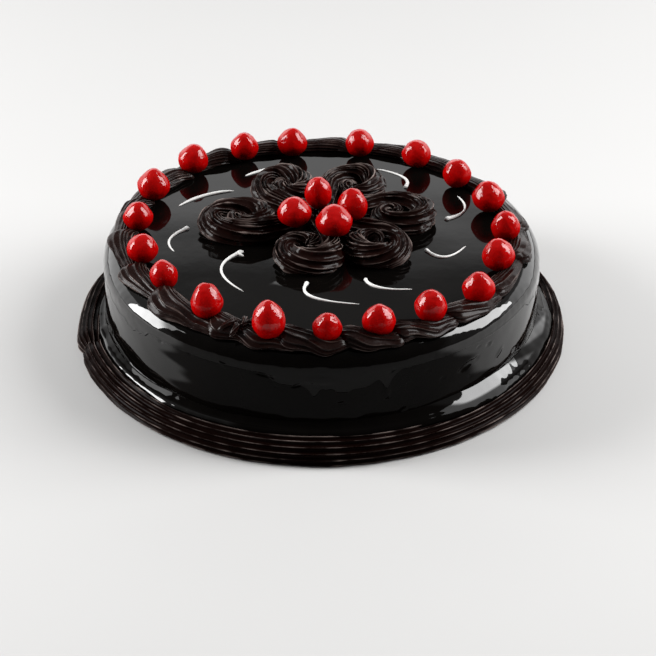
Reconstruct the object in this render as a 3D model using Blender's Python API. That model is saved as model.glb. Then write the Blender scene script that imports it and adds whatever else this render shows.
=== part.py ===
"""Round truffle cake with piped borders, a ring of rosettes and glazed cherries.

Units are metres, +Z is up and the cake stands on Z = 0, centred on the Z axis.
Angles are counted anticlockwise from +X, seen from above.
"""

import math
import random
from typing import Callable, NamedTuple

import bmesh
import bpy
from mathutils import Matrix, Vector

GAP = 0.0003                    # clearance between neighbouring pieces
FULL_TURN = 2.0 * math.pi

# ---- the glazed drum
DRUM_RADIUS = 0.1015
DRUM_HEIGHT = 0.049
SHOULDER_RADIUS = 0.006         # rounding between the wall and the top
FOOT_CHAMFER = 0.0012
DRUM_SEGMENTS = 64
SHOULDER_STEPS = 3

# ---- the rope piped round the foot of the drum
BASE_ROPE_CENTRE_OUT = 0.0058   # how far its centre lies outside the wall
BASE_ROPE_CENTRE_HEIGHT = 0.0030
BASE_ROPE_RADIUS = 0.0080
BASE_ROPE_CRESTS = 6
BASE_ROPE_GROOVE = 0.0009
BASE_ROPE_FIRST_CREST = math.radians(97.0)
BASE_ROPE_LAST_CREST = math.radians(-12.0)
GLAZE_APRON_HEIGHT = 0.0155     # glaze that ran down and pooled on the rope
BASE_SEAM_ANGLE = math.radians(193.0)
BASE_SEAM_STEP = 0.0013         # the rope's end lies this far outside its start
BASE_SWAY = 0.0009

# ---- the shell border round the top
SHELL_COUNT = 19
SHELL_INNER_REACH = 0.0132      # from the start of the shoulder, inwards
SHELL_OUTER_REACH = 0.0049      # from the start of the shoulder, down its curve
SHELL_HEIGHT = 0.0068
SHELL_CRESTS = 5
SHELL_GROOVE = 0.30             # groove depth as a share of the local height
SHELL_STATIONS = (0.0, 0.05, 0.17, 0.34, 0.52, 0.72, 0.93)

# ---- cherries
CHERRY_RADIUS = 0.0073          # of a cherry whose size is 1
CHERRY_SEGMENTS = 9
CHERRY_RINGS = 6
CHERRY_TAPER = 0.18             # how much narrower the top is than the middle
CHERRY_MOST_LEAN = 16.0         # degrees
RIM_CHERRY_CIRCLE = 0.0860
RIM_CHERRY_REST = 0.0007        # foot above the glazed top
RIM_CHERRY_FIRST = math.radians(21.0)
CENTRE_CHERRY_LIFT = 0.0152

# ---- rosettes
FLOWER_CENTRE = Vector((-0.001, 0.012))
ROSETTE_ROPE_HALF_WIDTH = 0.0068
ROSETTE_ROPE_HEIGHT = 0.0106
ROSETTE_ROPE_SPACES = 6         # grooves across the rope
ROSETTE_GROOVE = 0.16           # groove depth as a share of the rope's size
ROSETTE_LOOP_LENGTH = 0.0142    # half-axes of the loop's middle line
ROSETTE_LOOP_WIDTH = 0.0104
ROSETTE_LOOP_START = math.radians(118.0)
ROSETTE_LOOP_TURN = math.radians(296.0)
ROSETTE_LOOP_STEPS = 13
ROSETTE_TAIL_START = 0.0055
ROSETTE_SWIRL_HEIGHT = 0.0100
ROSETTE_SWIRL_CRESTS = 6

# ---- white drizzle
DRIZZLE_RADIUS = 0.00070
DRIZZLE_STEPS = 7


class RimPlace(NamedTuple):
    """How far a rim cherry was set from its even place, and how large it is."""

    turn: float                 # degrees
    out: float                  # millimetres
    size: float
    tall: float                 # its height as a share of its width


class CentrePlace(NamedTuple):
    """Where a cherry sits on the flower, and how large it is."""

    x: float                    # millimetres
    y: float
    size: float
    tall: float


class CherrySpot(NamedTuple):
    """Middle and half-axes of a cherry."""

    centre: Vector
    half_width: float
    half_height: float


class RosettePlace(NamedTuple):
    """Where a rosette points from the middle of the flower."""

    angle: float                # degrees
    distance: float             # millimetres from the flower's middle to the loop's
    size: float


class Stroke(NamedTuple):
    """A drizzle stroke on the top: two ends and the corner it bends round, in mm."""

    start: tuple[float, float]
    corner: tuple[float, float]
    end: tuple[float, float]


RIM_PLACES = (
    RimPlace(-2.5, -3.0, 1.03, 1.05), RimPlace(-2.0, -3.5, 0.94, 1.04),
    RimPlace(-2.0, -1.5, 0.96, 1.00), RimPlace(-0.5, -1.5, 0.93, 1.01),
    RimPlace(3.0, -1.5, 0.98, 0.97), RimPlace(0.0, 1.0, 0.92, 1.06),
    RimPlace(-1.0, 4.0, 0.99, 1.02), RimPlace(1.0, 2.5, 1.04, 1.04),
    RimPlace(1.5, 0.0, 0.93, 1.04), RimPlace(3.0, -1.5, 0.98, 0.96),
    RimPlace(2.0, -2.0, 0.86, 1.12), RimPlace(5.0, 1.0, 0.97, 1.22),
    RimPlace(7.0, 4.5, 1.01, 1.24), RimPlace(4.5, 4.0, 0.88, 1.08),
    RimPlace(0.5, 2.5, 0.98, 1.06), RimPlace(-2.0, 2.5, 0.97, 1.14),
    RimPlace(-3.0, 4.5, 1.01, 1.00), RimPlace(-2.5, -0.5, 1.01, 1.06),
    RimPlace(-3.0, -0.5, 0.90, 1.15),
)

CENTRE_PLACES = (
    CentrePlace(-1.5, 18.0, 0.88, 1.28), CentrePlace(-12.5, -0.5, 1.07, 0.94),
    CentrePlace(14.5, 6.5, 0.93, 1.18), CentrePlace(6.0, -8.5, 1.18, 0.88),
)

ROSETTE_PLACES = (
    RosettePlace(6, 36.5, 0.97), RosettePlace(61, 34.0, 0.96), RosettePlace(118, 33.0, 0.96),
    RosettePlace(183, 36.5, 1.03), RosettePlace(-101, 28.3, 0.97), RosettePlace(-44, 34.0, 0.97),
)

STROKES = (
    Stroke((-68, 32), (-57, 45), (-42, 47)),
    Stroke((-62, 11), (-76, 1), (-68, -11)),
    Stroke((-36, -11), (-56, -26), (-35, -47)),
    Stroke((-6, -39), (-14, -55), (17, -58)),
    Stroke((20, -36), (22, -47), (41, -45)),
    Stroke((48, -9), (56, -25), (67, -6)),
    Stroke((65, 42), (74, 25), (58, 19)),
    Stroke((27, 69), (46, 61), (40, 50)),
    Stroke((-37, 62), (-30, 68), (-19, 70)),
)


# ------------------------------------------------------------------ helpers
def clear_scene() -> None:
    """Remove every object of the open scene."""
    for item in list(bpy.data.objects):
        bpy.data.objects.remove(item, do_unlink=True)


def finish_material(name: str, colour: tuple[float, float, float], roughness: float,
                    coat: float = 0.0) -> bpy.types.Material:
    """Return a Principled material with one colour and roughness."""
    material = bpy.data.materials.new(name)
    material.use_nodes = True
    shader = material.node_tree.nodes["Principled BSDF"]
    shader.inputs["Base Color"].default_value = (*colour, 1.0)
    shader.inputs["Roughness"].default_value = roughness
    shader.inputs["Metallic"].default_value = 0.0
    shader.inputs["Coat Weight"].default_value = coat
    return material


def object_from_bmesh(name: str, shape: bmesh.types.BMesh,
                      material: bpy.types.Material) -> bpy.types.Object:
    """Turn a bmesh into a linked, smoothly shaded object."""
    bmesh.ops.recalc_face_normals(shape, faces=shape.faces)
    mesh = bpy.data.meshes.new(name)
    shape.to_mesh(mesh)
    shape.free()
    mesh.materials.append(material)
    mesh.shade_smooth()
    mesh.set_sharp_from_angle(angle=math.radians(40.0))
    piece = bpy.data.objects.new(name, mesh)
    bpy.context.scene.collection.objects.link(piece)
    return piece


def skin_loops(shape: bmesh.types.BMesh, loops: list[list[Vector]], closed: bool) -> None:
    """Bridge a row of equal loops of points, as a ring or as a capped tube.

    Args:
        shape: the bmesh that receives the skin.
        loops: the sections in order, each a closed loop of the same length.
        closed: True joins the last section to the first, False caps both ends.
    """
    rows = [[shape.verts.new(point) for point in loop] for loop in loops]
    count = len(rows[0])
    spans = len(rows) if closed else len(rows) - 1
    for row in range(spans):
        near, far = rows[row], rows[(row + 1) % len(rows)]
        for i in range(count):
            j = (i + 1) % count
            shape.faces.new((near[i], near[j], far[j], far[i]))
    if not closed:
        shape.faces.new(rows[0])
        shape.faces.new(rows[-1])


def boolean_with(piece: bpy.types.Object, others: list[bpy.types.Object],
                 operation: str) -> None:
    """Apply one Boolean of a piece with a collection, then remove the others.

    Args:
        piece: the object that keeps the result.
        others: closed objects to add or to cut away.
        operation: "UNION" or "DIFFERENCE".
    """
    group = bpy.data.collections.new(piece.name + "_tools")
    bpy.context.scene.collection.children.link(group)
    for other in others:
        bpy.context.scene.collection.objects.unlink(other)
        group.objects.link(other)
    modifier = piece.modifiers.new("join", "BOOLEAN")
    modifier.operation = operation
    modifier.operand_type = "COLLECTION"
    modifier.collection = group
    modifier.solver = "EXACT"
    bpy.context.view_layer.objects.active = piece
    bpy.ops.object.modifier_apply(modifier=modifier.name)
    for other in others:
        bpy.data.objects.remove(other, do_unlink=True)
    bpy.data.collections.remove(group)


def smooth_step(edge_low: float, edge_high: float, value: float) -> float:
    """Return 0 below the low edge, 1 above the high edge and a smooth rise between."""
    t = min(max((value - edge_low) / (edge_high - edge_low), 0.0), 1.0)
    return t * t * (3.0 - 2.0 * t)


def on_circle(radius: float, angle: float, height: float) -> Vector:
    """Return the point at a radius, angle and height round the Z axis."""
    return Vector((radius * math.cos(angle), radius * math.sin(angle), height))


# ------------------------------------------------------------------ the drum
def shoulder_point(reach: float, lift: float) -> tuple[float, float]:
    """Return radius and height of a point on or above the drum's top and shoulder.

    Args:
        reach: distance along the surface from where the shoulder starts to curve,
            negative towards the middle of the top.
        lift: distance off the surface.
    """
    start = DRUM_RADIUS - SHOULDER_RADIUS
    if reach <= 0.0:
        return start + reach, DRUM_HEIGHT + lift
    bend = reach / SHOULDER_RADIUS
    size = SHOULDER_RADIUS + lift
    return start + size * math.sin(bend), DRUM_HEIGHT - SHOULDER_RADIUS + size * math.cos(bend)


def drum_profile() -> list[Vector]:
    """Return the drum's half section from the middle of its foot to that of its top."""
    points = [Vector((0.0, 0.0, 0.0)), Vector((DRUM_RADIUS - FOOT_CHAMFER, 0.0, 0.0)),
              Vector((DRUM_RADIUS, 0.0, FOOT_CHAMFER))]
    quarter = SHOULDER_RADIUS * math.pi / 2.0
    for step in range(SHOULDER_STEPS + 1):
        radius, height = shoulder_point(quarter * (1.0 - step / SHOULDER_STEPS), 0.0)
        points.append(Vector((radius, 0.0, height)))
    points.append(Vector((0.0, 0.0, DRUM_HEIGHT)))
    return points


def build_drum(material: bpy.types.Material) -> bpy.types.Object:
    """Spin the drum's profile into a closed solid with flat caps."""
    shape = bmesh.new()
    rim = drum_profile()[1:-1]
    verts = [shape.verts.new(point) for point in rim]
    edges = [shape.edges.new(pair) for pair in zip(verts, verts[1:])]
    bmesh.ops.spin(shape, geom=verts + edges, axis=(0.0, 0.0, 1.0), cent=(0.0, 0.0, 0.0),
                   angle=FULL_TURN, steps=DRUM_SEGMENTS, use_duplicate=False)
    bmesh.ops.remove_doubles(shape, verts=shape.verts, dist=0.00001)
    open_edges = [edge for edge in shape.edges if edge.is_boundary]
    bmesh.ops.holes_fill(shape, edges=open_edges, sides=0)
    return object_from_bmesh("cake_body", shape, material)


def stroke_point(stroke: Stroke, t: float) -> Vector:
    """Return the point at share t of a stroke's curve, on the glazed top."""
    ends = [Vector((x * 0.001, y * 0.001, DRUM_HEIGHT))
            for x, y in (stroke.start, stroke.corner, stroke.end)]
    return (ends[0] * (1.0 - t) ** 2 + ends[1] * 2.0 * t * (1.0 - t) + ends[2] * t ** 2)


def build_stroke(stroke: Stroke, index: int, material: bpy.types.Material) -> bpy.types.Object:
    """Make one drizzle stroke: a round thread with a blob at its start and a fine end."""
    curve = bpy.data.curves.new("stroke", "CURVE")
    curve.dimensions = "3D"
    curve.bevel_depth = DRIZZLE_RADIUS
    curve.bevel_resolution = 1
    curve.use_fill_caps = True
    spline = curve.splines.new("POLY")
    spline.points.add(DRIZZLE_STEPS)
    for step in range(DRIZZLE_STEPS + 1):
        t = step / DRIZZLE_STEPS
        point = stroke_point(stroke, t)
        spline.points[step].co = (*point, 1.0)
        spline.points[step].radius = 1.35 - 0.85 * t
    thread = bpy.data.objects.new("stroke_curve", curve)
    bpy.context.scene.collection.objects.link(thread)
    depsgraph = bpy.context.evaluated_depsgraph_get()
    mesh = bpy.data.meshes.new_from_object(thread.evaluated_get(depsgraph))
    bpy.data.objects.remove(thread, do_unlink=True)
    shape = bmesh.new()
    shape.from_mesh(mesh)
    bmesh.ops.remove_doubles(shape, verts=shape.verts, dist=0.000001)
    return object_from_bmesh(f"stroke_{index}", shape, material)


def build_cake_body(glaze: bpy.types.Material, cream: bpy.types.Material) -> bpy.types.Object:
    """Make the drum with the drizzle strokes fused to its top."""
    drum = build_drum(glaze)
    strokes = [build_stroke(stroke, i, cream) for i, stroke in enumerate(STROKES)]
    boolean_with(drum, strokes, "UNION")
    return drum


# ------------------------------------------------------------------ base border
def base_rope_offset(angle: float) -> float:
    """Return how far the rope sways outwards at an angle, with the step at its seam."""
    sway = BASE_SWAY * math.sin(angle * 2.0 - 1.0) + 0.6 * BASE_SWAY * math.sin(5.0 * angle)
    before = (BASE_SEAM_ANGLE - angle) % FULL_TURN
    overlap = smooth_step(0.55, 0.05, before) if before > 0.05 else 1.0
    return sway * 0.5 + BASE_SEAM_STEP * overlap


def base_section(angle: float) -> list[Vector]:
    """Return the closed section of the base border at an angle."""
    offset = base_rope_offset(angle)
    inner = DRUM_RADIUS + GAP
    centre = DRUM_RADIUS + BASE_ROPE_CENTRE_OUT + offset
    points = [(inner, 0.0), (inner, GLAZE_APRON_HEIGHT),
              (inner + 0.0008, GLAZE_APRON_HEIGHT - 0.0026), (inner + 0.0026, 0.0115)]
    spaces = 2 * (BASE_ROPE_CRESTS - 1)
    for i in range(spaces + 1):
        turn = BASE_ROPE_FIRST_CREST + (BASE_ROPE_LAST_CREST - BASE_ROPE_FIRST_CREST) * i / spaces
        radius = BASE_ROPE_RADIUS - (BASE_ROPE_GROOVE if i % 2 else 0.0)
        points.append((centre + radius * math.cos(turn),
                       BASE_ROPE_CENTRE_HEIGHT + radius * math.sin(turn)))
    points.append((centre + BASE_ROPE_RADIUS * 0.90, 0.0))
    return [on_circle(radius, angle, height) for radius, height in points]


def build_base_border(material: bpy.types.Material) -> bpy.types.Object:
    """Make the ridged rope round the foot, with the glaze apron on its inner side."""
    shape = bmesh.new()
    sections = [base_section(FULL_TURN * i / DRUM_SEGMENTS) for i in range(DRUM_SEGMENTS)]
    skin_loops(shape, sections, closed=True)
    return object_from_bmesh("base_border", shape, material)


# ------------------------------------------------------------------ top border
def rim_cherry_angle(index: int) -> float:
    """Return the angle of a rim cherry."""
    even = RIM_CHERRY_FIRST + FULL_TURN * index / SHELL_COUNT
    return even + math.radians(RIM_PLACES[index].turn)


def shell_section(index: int, share: float) -> list[Vector]:
    """Return the closed section of the shell border.

    Each shell starts as a broad head that droops over the shoulder and runs,
    anticlockwise, to the narrow tail that carries its cherry.

    Args:
        index: number of the shell, the same as that of its cherry.
        share: place along the shell, 0 at the head and 1 at the end of its tail.
    """
    last = rim_cherry_angle((index + 1) % SHELL_COUNT)
    first = rim_cherry_angle(index)
    if last < first:
        last += FULL_TURN
    angle = first + (last - first) * (share + 0.22)
    swell = smooth_step(0.0, 0.17, share) * (1.0 - smooth_step(0.30, 1.0, share))
    inner = SHELL_INNER_REACH * (0.86 + 0.14 * swell)
    outer = SHELL_OUTER_REACH * (0.48 + 0.52 * swell)
    height = SHELL_HEIGHT * (0.60 + 0.40 * swell)
    spaces = 2 * (SHELL_CRESTS - 1)
    points = []
    for i in range(spaces + 1):
        across = 0.07 + 0.86 * i / spaces
        bulge = math.sin(math.pi * across) ** 0.62
        groove = 1.0 - (SHELL_GROOVE if i % 2 else 0.0)
        reach = -inner + (inner + outer) * across
        points.append(shoulder_point(reach, GAP + height * bulge * groove))
    for reach in (outer, 0.5 * outer, 0.0, -inner):
        points.append(shoulder_point(reach, GAP + 0.00005))
    return [on_circle(radius, angle, level) for radius, level in points]


def build_top_border(cutters: list[bpy.types.Object],
                     material: bpy.types.Material) -> bpy.types.Object:
    """Make the ring of shells and press the rim cherries into it."""
    shape = bmesh.new()
    sections = [shell_section(index, share)
                for index in range(SHELL_COUNT) for share in SHELL_STATIONS]
    skin_loops(shape, sections, closed=True)
    border = object_from_bmesh("top_border", shape, material)
    boolean_with(border, cutters, "DIFFERENCE")
    return border


# ------------------------------------------------------------------ cherries
def rim_cherry_spot(index: int) -> CherrySpot:
    """Return the place and size of a rim cherry, whose foot all but rests on the glaze."""
    place = RIM_PLACES[index]
    half_width = CHERRY_RADIUS * place.size
    half_height = half_width * place.tall
    centre = on_circle(RIM_CHERRY_CIRCLE + place.out * 0.001, rim_cherry_angle(index),
                       DRUM_HEIGHT + RIM_CHERRY_REST + half_height)
    return CherrySpot(centre, half_width, half_height)


def centre_cherry_spot(index: int) -> CherrySpot:
    """Return the place and size of one of the four cherries on the flower."""
    place = CENTRE_PLACES[index]
    half_width = CHERRY_RADIUS * place.size
    centre = Vector((place.x * 0.001, place.y * 0.001, DRUM_HEIGHT + CENTRE_CHERRY_LIFT))
    return CherrySpot(centre, half_width, half_width * place.tall)


def build_cherry(name: str, spot: CherrySpot, seed: int, grow: float,
                 material: bpy.types.Material) -> bpy.types.Object:
    """Make one cherry, broad below and narrower above, leaning a little.

    Args:
        name: the object's name.
        spot: its middle and half-axes.
        seed: seed of its lean.
        grow: extra size all round, used for the dent that a cherry leaves in cream.
        material: the cherry's finish.
    """
    draw = random.Random(seed)
    lean = math.radians(draw.uniform(0.0, CHERRY_MOST_LEAN))
    lean_way = draw.uniform(0.0, FULL_TURN)
    shape = bmesh.new()
    bmesh.ops.create_uvsphere(shape, u_segments=CHERRY_SEGMENTS, v_segments=CHERRY_RINGS,
                              radius=1.0)
    for vert in shape.verts:
        upward = vert.co.z
        width = spot.half_width + grow
        width *= 1.0 - CHERRY_TAPER * upward * (1.0 if upward > 0.0 else 0.4)
        vert.co = Vector((vert.co.x * width, vert.co.y * width,
                          upward * (spot.half_height + grow)))
    axis = Vector((math.cos(lean_way), math.sin(lean_way), 0.0))
    piece = object_from_bmesh(name, shape, material)
    piece.matrix_world = Matrix.Translation(spot.centre) @ Matrix.Rotation(lean, 4, axis)
    return piece


# ------------------------------------------------------------------ rosettes
def rope_path(place: RosettePlace) -> list[tuple[Vector, float]]:
    """Return the rosette rope's middle line and its share of full size at each point.

    The rope starts as a thin tail at the middle of the flower, runs out along the
    left side of the petal and curls clockwise round its outer end.
    """
    distance = place.distance * 0.001
    length = ROSETTE_LOOP_LENGTH * place.size
    width = ROSETTE_LOOP_WIDTH * place.size
    tail = Vector((ROSETTE_TAIL_START, 0.0008))
    join = Vector((distance + length * math.cos(ROSETTE_LOOP_START),
                   width * math.sin(ROSETTE_LOOP_START)))
    points = [(tail, 0.78)]
    for share, size in ((0.36, 0.86), (0.70, 0.93)):
        straight = tail.lerp(join, share)
        straight.y += 0.0012 * math.sin(math.pi * share)
        points.append((straight, size))
    for step in range(ROSETTE_LOOP_STEPS + 1):
        t = step / ROSETTE_LOOP_STEPS
        around = ROSETTE_LOOP_START - ROSETTE_LOOP_TURN * t
        shrink = 1.0 - 0.20 * t * t
        point = Vector((distance + length * shrink * math.cos(around),
                        width * shrink * math.sin(around)))
        points.append((point, 0.97 + 0.03 * math.sin(math.pi * t) - 0.10 * t * t))
    return points


def rope_section(centre: Vector, side: Vector, size: float) -> list[Vector]:
    """Return the ridged, flat-footed section of the rosette's rope at a point."""
    half_width = ROSETTE_ROPE_HALF_WIDTH * size
    height = ROSETTE_ROPE_HEIGHT * size
    points = []
    spaces = 2 * ROSETTE_ROPE_SPACES
    for i in range(spaces + 1):
        turn = math.pi * i / spaces
        groove = 1.0 - (ROSETTE_GROOVE if i % 2 else 0.0)
        across = math.copysign(abs(math.cos(turn)) ** 0.85, math.cos(turn))
        across *= half_width * (groove if 0 < i < spaces else 0.93)
        level = height * groove * math.sin(turn) ** 0.75
        flat = centre + side * across
        points.append(Vector((flat.x, flat.y, level)))
    return points


def keep_in_sector(point: Vector, left: float, right: float) -> Vector:
    """Move a point of a rosette sideways until it lies inside the rosette's sector.

    Args:
        point: place in the rosette's own frame, X outwards from the flower's middle.
        left: angle to the edge shared with the next rosette anticlockwise.
        right: angle to the edge shared with the next rosette clockwise.
    """
    margin = GAP * 0.75
    most = point.x * math.tan(left) - margin / math.cos(left)
    least = -point.x * math.tan(right) + margin / math.cos(right)
    return Vector((point.x, min(max(point.y, least), most), point.z))


def build_swirl(place: RosettePlace, settle: Callable[[Vector], Vector],
                material: bpy.types.Material) -> bpy.types.Object:
    """Make the curled middle of a rosette: a low dome with ridges that wind inwards."""
    rings = ((1.14, 0.0), (1.14, 0.58), (0.66, 0.82), (0.38, 0.92), (0.14, 1.0))
    count = 2 * ROSETTE_SWIRL_CRESTS
    distance = place.distance * 0.001
    shape = bmesh.new()
    rows = []
    for row, (share, rise) in enumerate(rings):
        wind = math.radians(-48.0) * max(row - 1, 0)
        loop = []
        for i in range(count):
            around = FULL_TURN * i / count + wind
            groove = 1.0 - (0.16 if i % 2 and row > 0 else 0.0)
            point = Vector((distance + ROSETTE_LOOP_LENGTH * place.size * share * math.cos(around),
                            ROSETTE_LOOP_WIDTH * place.size * share * math.sin(around),
                            ROSETTE_SWIRL_HEIGHT * rise * groove))
            loop.append(shape.verts.new(settle(point)))
        rows.append(loop)
    for near, far in zip(rows, rows[1:]):
        for i in range(count):
            j = (i + 1) % count
            shape.faces.new((near[i], near[j], far[j], far[i]))
    shape.faces.new(rows[0])
    shape.faces.new(rows[-1])
    return object_from_bmesh("swirl", shape, material)


def build_rosette(index: int, material: bpy.types.Material) -> bpy.types.Object:
    """Make one rosette: the curled rope with its swirl, joined into one solid."""
    place = ROSETTE_PLACES[index]
    count = len(ROSETTE_PLACES)
    middle = math.radians(place.angle)
    after = math.radians(ROSETTE_PLACES[(index + 1) % count].angle)
    before = math.radians(ROSETTE_PLACES[index - 1].angle)
    left = ((after - middle) % FULL_TURN) / 2.0
    right = ((middle - before) % FULL_TURN) / 2.0
    frame = (Matrix.Translation((FLOWER_CENTRE.x, FLOWER_CENTRE.y, DRUM_HEIGHT + GAP))
             @ Matrix.Rotation(middle, 4, "Z"))

    def settle(point: Vector) -> Vector:
        """Return a rosette point kept in its sector and put in its place on the cake."""
        return frame @ keep_in_sector(point, left, right)

    path = rope_path(place)
    loops = []
    for i, (centre, size) in enumerate(path):
        ahead = path[min(i + 1, len(path) - 1)][0] - path[max(i - 1, 0)][0]
        side = Vector((ahead.y, -ahead.x)).normalized()
        loops.append([settle(point) for point in rope_section(centre, side, size)])
    shape = bmesh.new()
    skin_loops(shape, loops, closed=False)
    rosette = object_from_bmesh(f"rosette_{index + 1}", shape, material)
    boolean_with(rosette, [build_swirl(place, settle, material)], "UNION")
    return rosette


# ------------------------------------------------------------------ the cake
def build_cake() -> None:
    """Build every piece of the cake."""
    clear_scene()
    glaze = finish_material("chocolate_glaze", (0.010, 0.009, 0.008), 0.06, 0.5)
    ganache = finish_material("piped_ganache", (0.012, 0.006, 0.005), 0.30)
    cherry_red = finish_material("glazed_cherry", (0.55, 0.008, 0.008), 0.10, 0.8)
    cream = finish_material("white_drizzle", (0.80, 0.80, 0.78), 0.35)

    build_cake_body(glaze, cream)
    build_base_border(ganache)

    dents = [build_cherry(f"dent_{i}", rim_cherry_spot(i), i, GAP, cherry_red)
             for i in range(SHELL_COUNT)]
    build_top_border(dents, ganache)
    for i in range(SHELL_COUNT):
        build_cherry(f"rim_cherry_{i + 1:02d}", rim_cherry_spot(i), i, 0.0, cherry_red)

    for index in range(len(ROSETTE_PLACES)):
        rosette = build_rosette(index, ganache)
        presses = [build_cherry(f"press_{i}", centre_cherry_spot(i), SHELL_COUNT + i, GAP,
                                cherry_red) for i in range(len(CENTRE_PLACES))]
        boolean_with(rosette, presses, "DIFFERENCE")
    for i in range(len(CENTRE_PLACES)):
        build_cherry(f"centre_cherry_{i + 1}", centre_cherry_spot(i), SHELL_COUNT + i, 0.0,
                     cherry_red)


build_cake()
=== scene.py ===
"""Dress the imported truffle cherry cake: mirror glaze, piped ganache, cherries and drizzle.

Units are metres. The camera looks along +Y and a little down, with +X to its right.
Angles round the cake are counted anticlockwise from +X, seen from above.
"""
import logging
import math
import random
from dataclasses import dataclass, field
from enum import Enum

import bmesh
import bpy
import numpy as np
from mathutils import Matrix, Vector, noise


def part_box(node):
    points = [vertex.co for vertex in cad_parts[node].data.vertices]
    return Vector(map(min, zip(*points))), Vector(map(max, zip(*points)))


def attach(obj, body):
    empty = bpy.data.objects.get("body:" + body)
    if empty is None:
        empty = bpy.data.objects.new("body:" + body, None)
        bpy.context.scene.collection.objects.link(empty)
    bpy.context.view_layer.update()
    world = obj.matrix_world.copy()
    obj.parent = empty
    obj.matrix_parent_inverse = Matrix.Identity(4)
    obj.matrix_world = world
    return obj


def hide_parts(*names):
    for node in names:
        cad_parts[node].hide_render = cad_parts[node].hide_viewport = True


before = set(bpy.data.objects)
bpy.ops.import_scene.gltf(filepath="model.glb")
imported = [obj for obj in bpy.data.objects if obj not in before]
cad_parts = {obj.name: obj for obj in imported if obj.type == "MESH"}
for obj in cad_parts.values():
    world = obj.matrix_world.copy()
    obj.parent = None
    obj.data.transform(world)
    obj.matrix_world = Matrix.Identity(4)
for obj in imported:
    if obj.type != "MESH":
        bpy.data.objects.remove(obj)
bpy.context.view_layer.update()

FULL_TURN = 2.0 * math.pi
MM = 0.001
CAD_GAP = 0.0003                # clearance that the frame keeps between its nodes
NOISE_BODY = (0.3, 0.7)         # between these a noise texture has most of its values
CREST_HIGHLIGHT_FROM = 0.90               # nearness to a crest from which its painted highlight line shows

log = logging.getLogger("cake")


class Slot(Enum):
    """Material slots of the record."""

    GLAZE = "chocolate_glaze"
    GANACHE = "piped_ganache"
    CHERRY = "glazed_cherry"
    CREAM = "white_drizzle"


# ------------------------------------------------------------------ bench tools
def deselect_all() -> None:
    """Leave edit mode and deselect every object."""
    if bpy.context.object is not None and bpy.context.object.mode != "OBJECT":
        bpy.ops.object.mode_set(mode="OBJECT")
    bpy.ops.object.select_all(action="DESELECT")


def make_active(piece: bpy.types.Object) -> None:
    """Select one object alone and make it active.

    Args:
        piece: the object.
    """
    deselect_all()
    piece.select_set(True)
    bpy.context.view_layer.objects.active = piece


def named(name: str) -> bpy.types.Object:
    """Give the active object and its mesh a name and return the object.

    Args:
        name: the new name.

    Returns:
        The active object.
    """
    piece = bpy.context.object
    piece.name = name
    piece.data.name = name
    return piece


def read_points(piece: bpy.types.Object) -> np.ndarray:
    """Return the vertex positions of a piece as an array with three columns.

    Args:
        piece: a mesh object.

    Returns:
        The positions, one row for each vertex.
    """
    points = np.empty(len(piece.data.vertices) * 3)
    piece.data.vertices.foreach_get("co", points)
    return points.reshape(-1, 3)


def write_points(piece: bpy.types.Object, points: np.ndarray) -> None:
    """Move the vertices of a piece to new positions."""
    piece.data.vertices.foreach_set("co", points.reshape(-1))
    piece.data.update()


def tube_blank(name: str, sides: int, spans: tuple[int, int]) -> bpy.types.Object:
    """Add a capped cylinder on the origin, one unit tall, cut into many stations.

    Args:
        name: the object's name.
        sides: faces round the tube.
        spans: two whole numbers whose product is the number of stations.

    Returns:
        The tube, ready to be laid along a path.
    """
    deselect_all()
    bpy.ops.mesh.primitive_cylinder_add(vertices=sides, radius=1.0, depth=1.0,
                                        end_fill_type="TRIFAN", location=(0.0, 0.0, 0.5))
    bpy.ops.object.transform_apply(location=True, rotation=True, scale=True)
    piece = named(name)
    bpy.ops.object.mode_set(mode="EDIT")
    bpy.ops.mesh.select_mode(type="EDGE")
    for span in spans:
        bpy.ops.mesh.select_all(action="DESELECT")
        shape = bmesh.from_edit_mesh(piece.data)
        for edge in shape.edges:
            edge.select_set(abs(edge.verts[0].co.z - edge.verts[1].co.z) > 1e-6)
        bmesh.update_edit_mesh(piece.data)
        bpy.ops.mesh.subdivide(number_cuts=span - 1)
    bpy.ops.object.mode_set(mode="OBJECT")
    return piece


def sheet_blank(name: str, across: int, along: int) -> bpy.types.Object:
    """Add a flat grid one unit wide and long, with its corner on the origin.

    Args:
        name: the object's name.
        across: number of faces along X.
        along: number of faces along Y.

    Returns:
        The sheet, ready to be wrapped.
    """
    deselect_all()
    bpy.ops.mesh.primitive_grid_add(x_subdivisions=across, y_subdivisions=along, size=1.0,
                                    location=(0.5, 0.5, 0.0))
    bpy.ops.object.transform_apply(location=True, rotation=True, scale=True)
    return named(name)


def copy_piece(blank: bpy.types.Object, name: str) -> bpy.types.Object:
    """Return a named copy of a blank, with its own mesh.

    Args:
        blank: the piece that is copied.
        name: the copy's name.

    Returns:
        The copy.
    """
    piece = blank.copy()
    piece.data = blank.data.copy()
    piece.name = piece.data.name = name
    bpy.context.scene.collection.objects.link(piece)
    return piece


def discard(blank: bpy.types.Object) -> None:
    """Remove a blank once its copies are made."""
    bpy.data.objects.remove(blank, do_unlink=True)


def close_up(piece: bpy.types.Object, distance: float = 1e-6) -> None:
    """Merge doubled points of a wrapped sheet and turn its faces outwards.

    Args:
        piece: the sheet.
        distance: how close two points are to be merged.
    """
    make_active(piece)
    bpy.ops.object.mode_set(mode="EDIT")
    bpy.ops.mesh.select_all(action="SELECT")
    bpy.ops.mesh.remove_doubles(threshold=distance)
    bpy.ops.mesh.normals_make_consistent(inside=False)
    bpy.ops.object.mode_set(mode="OBJECT")


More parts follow.
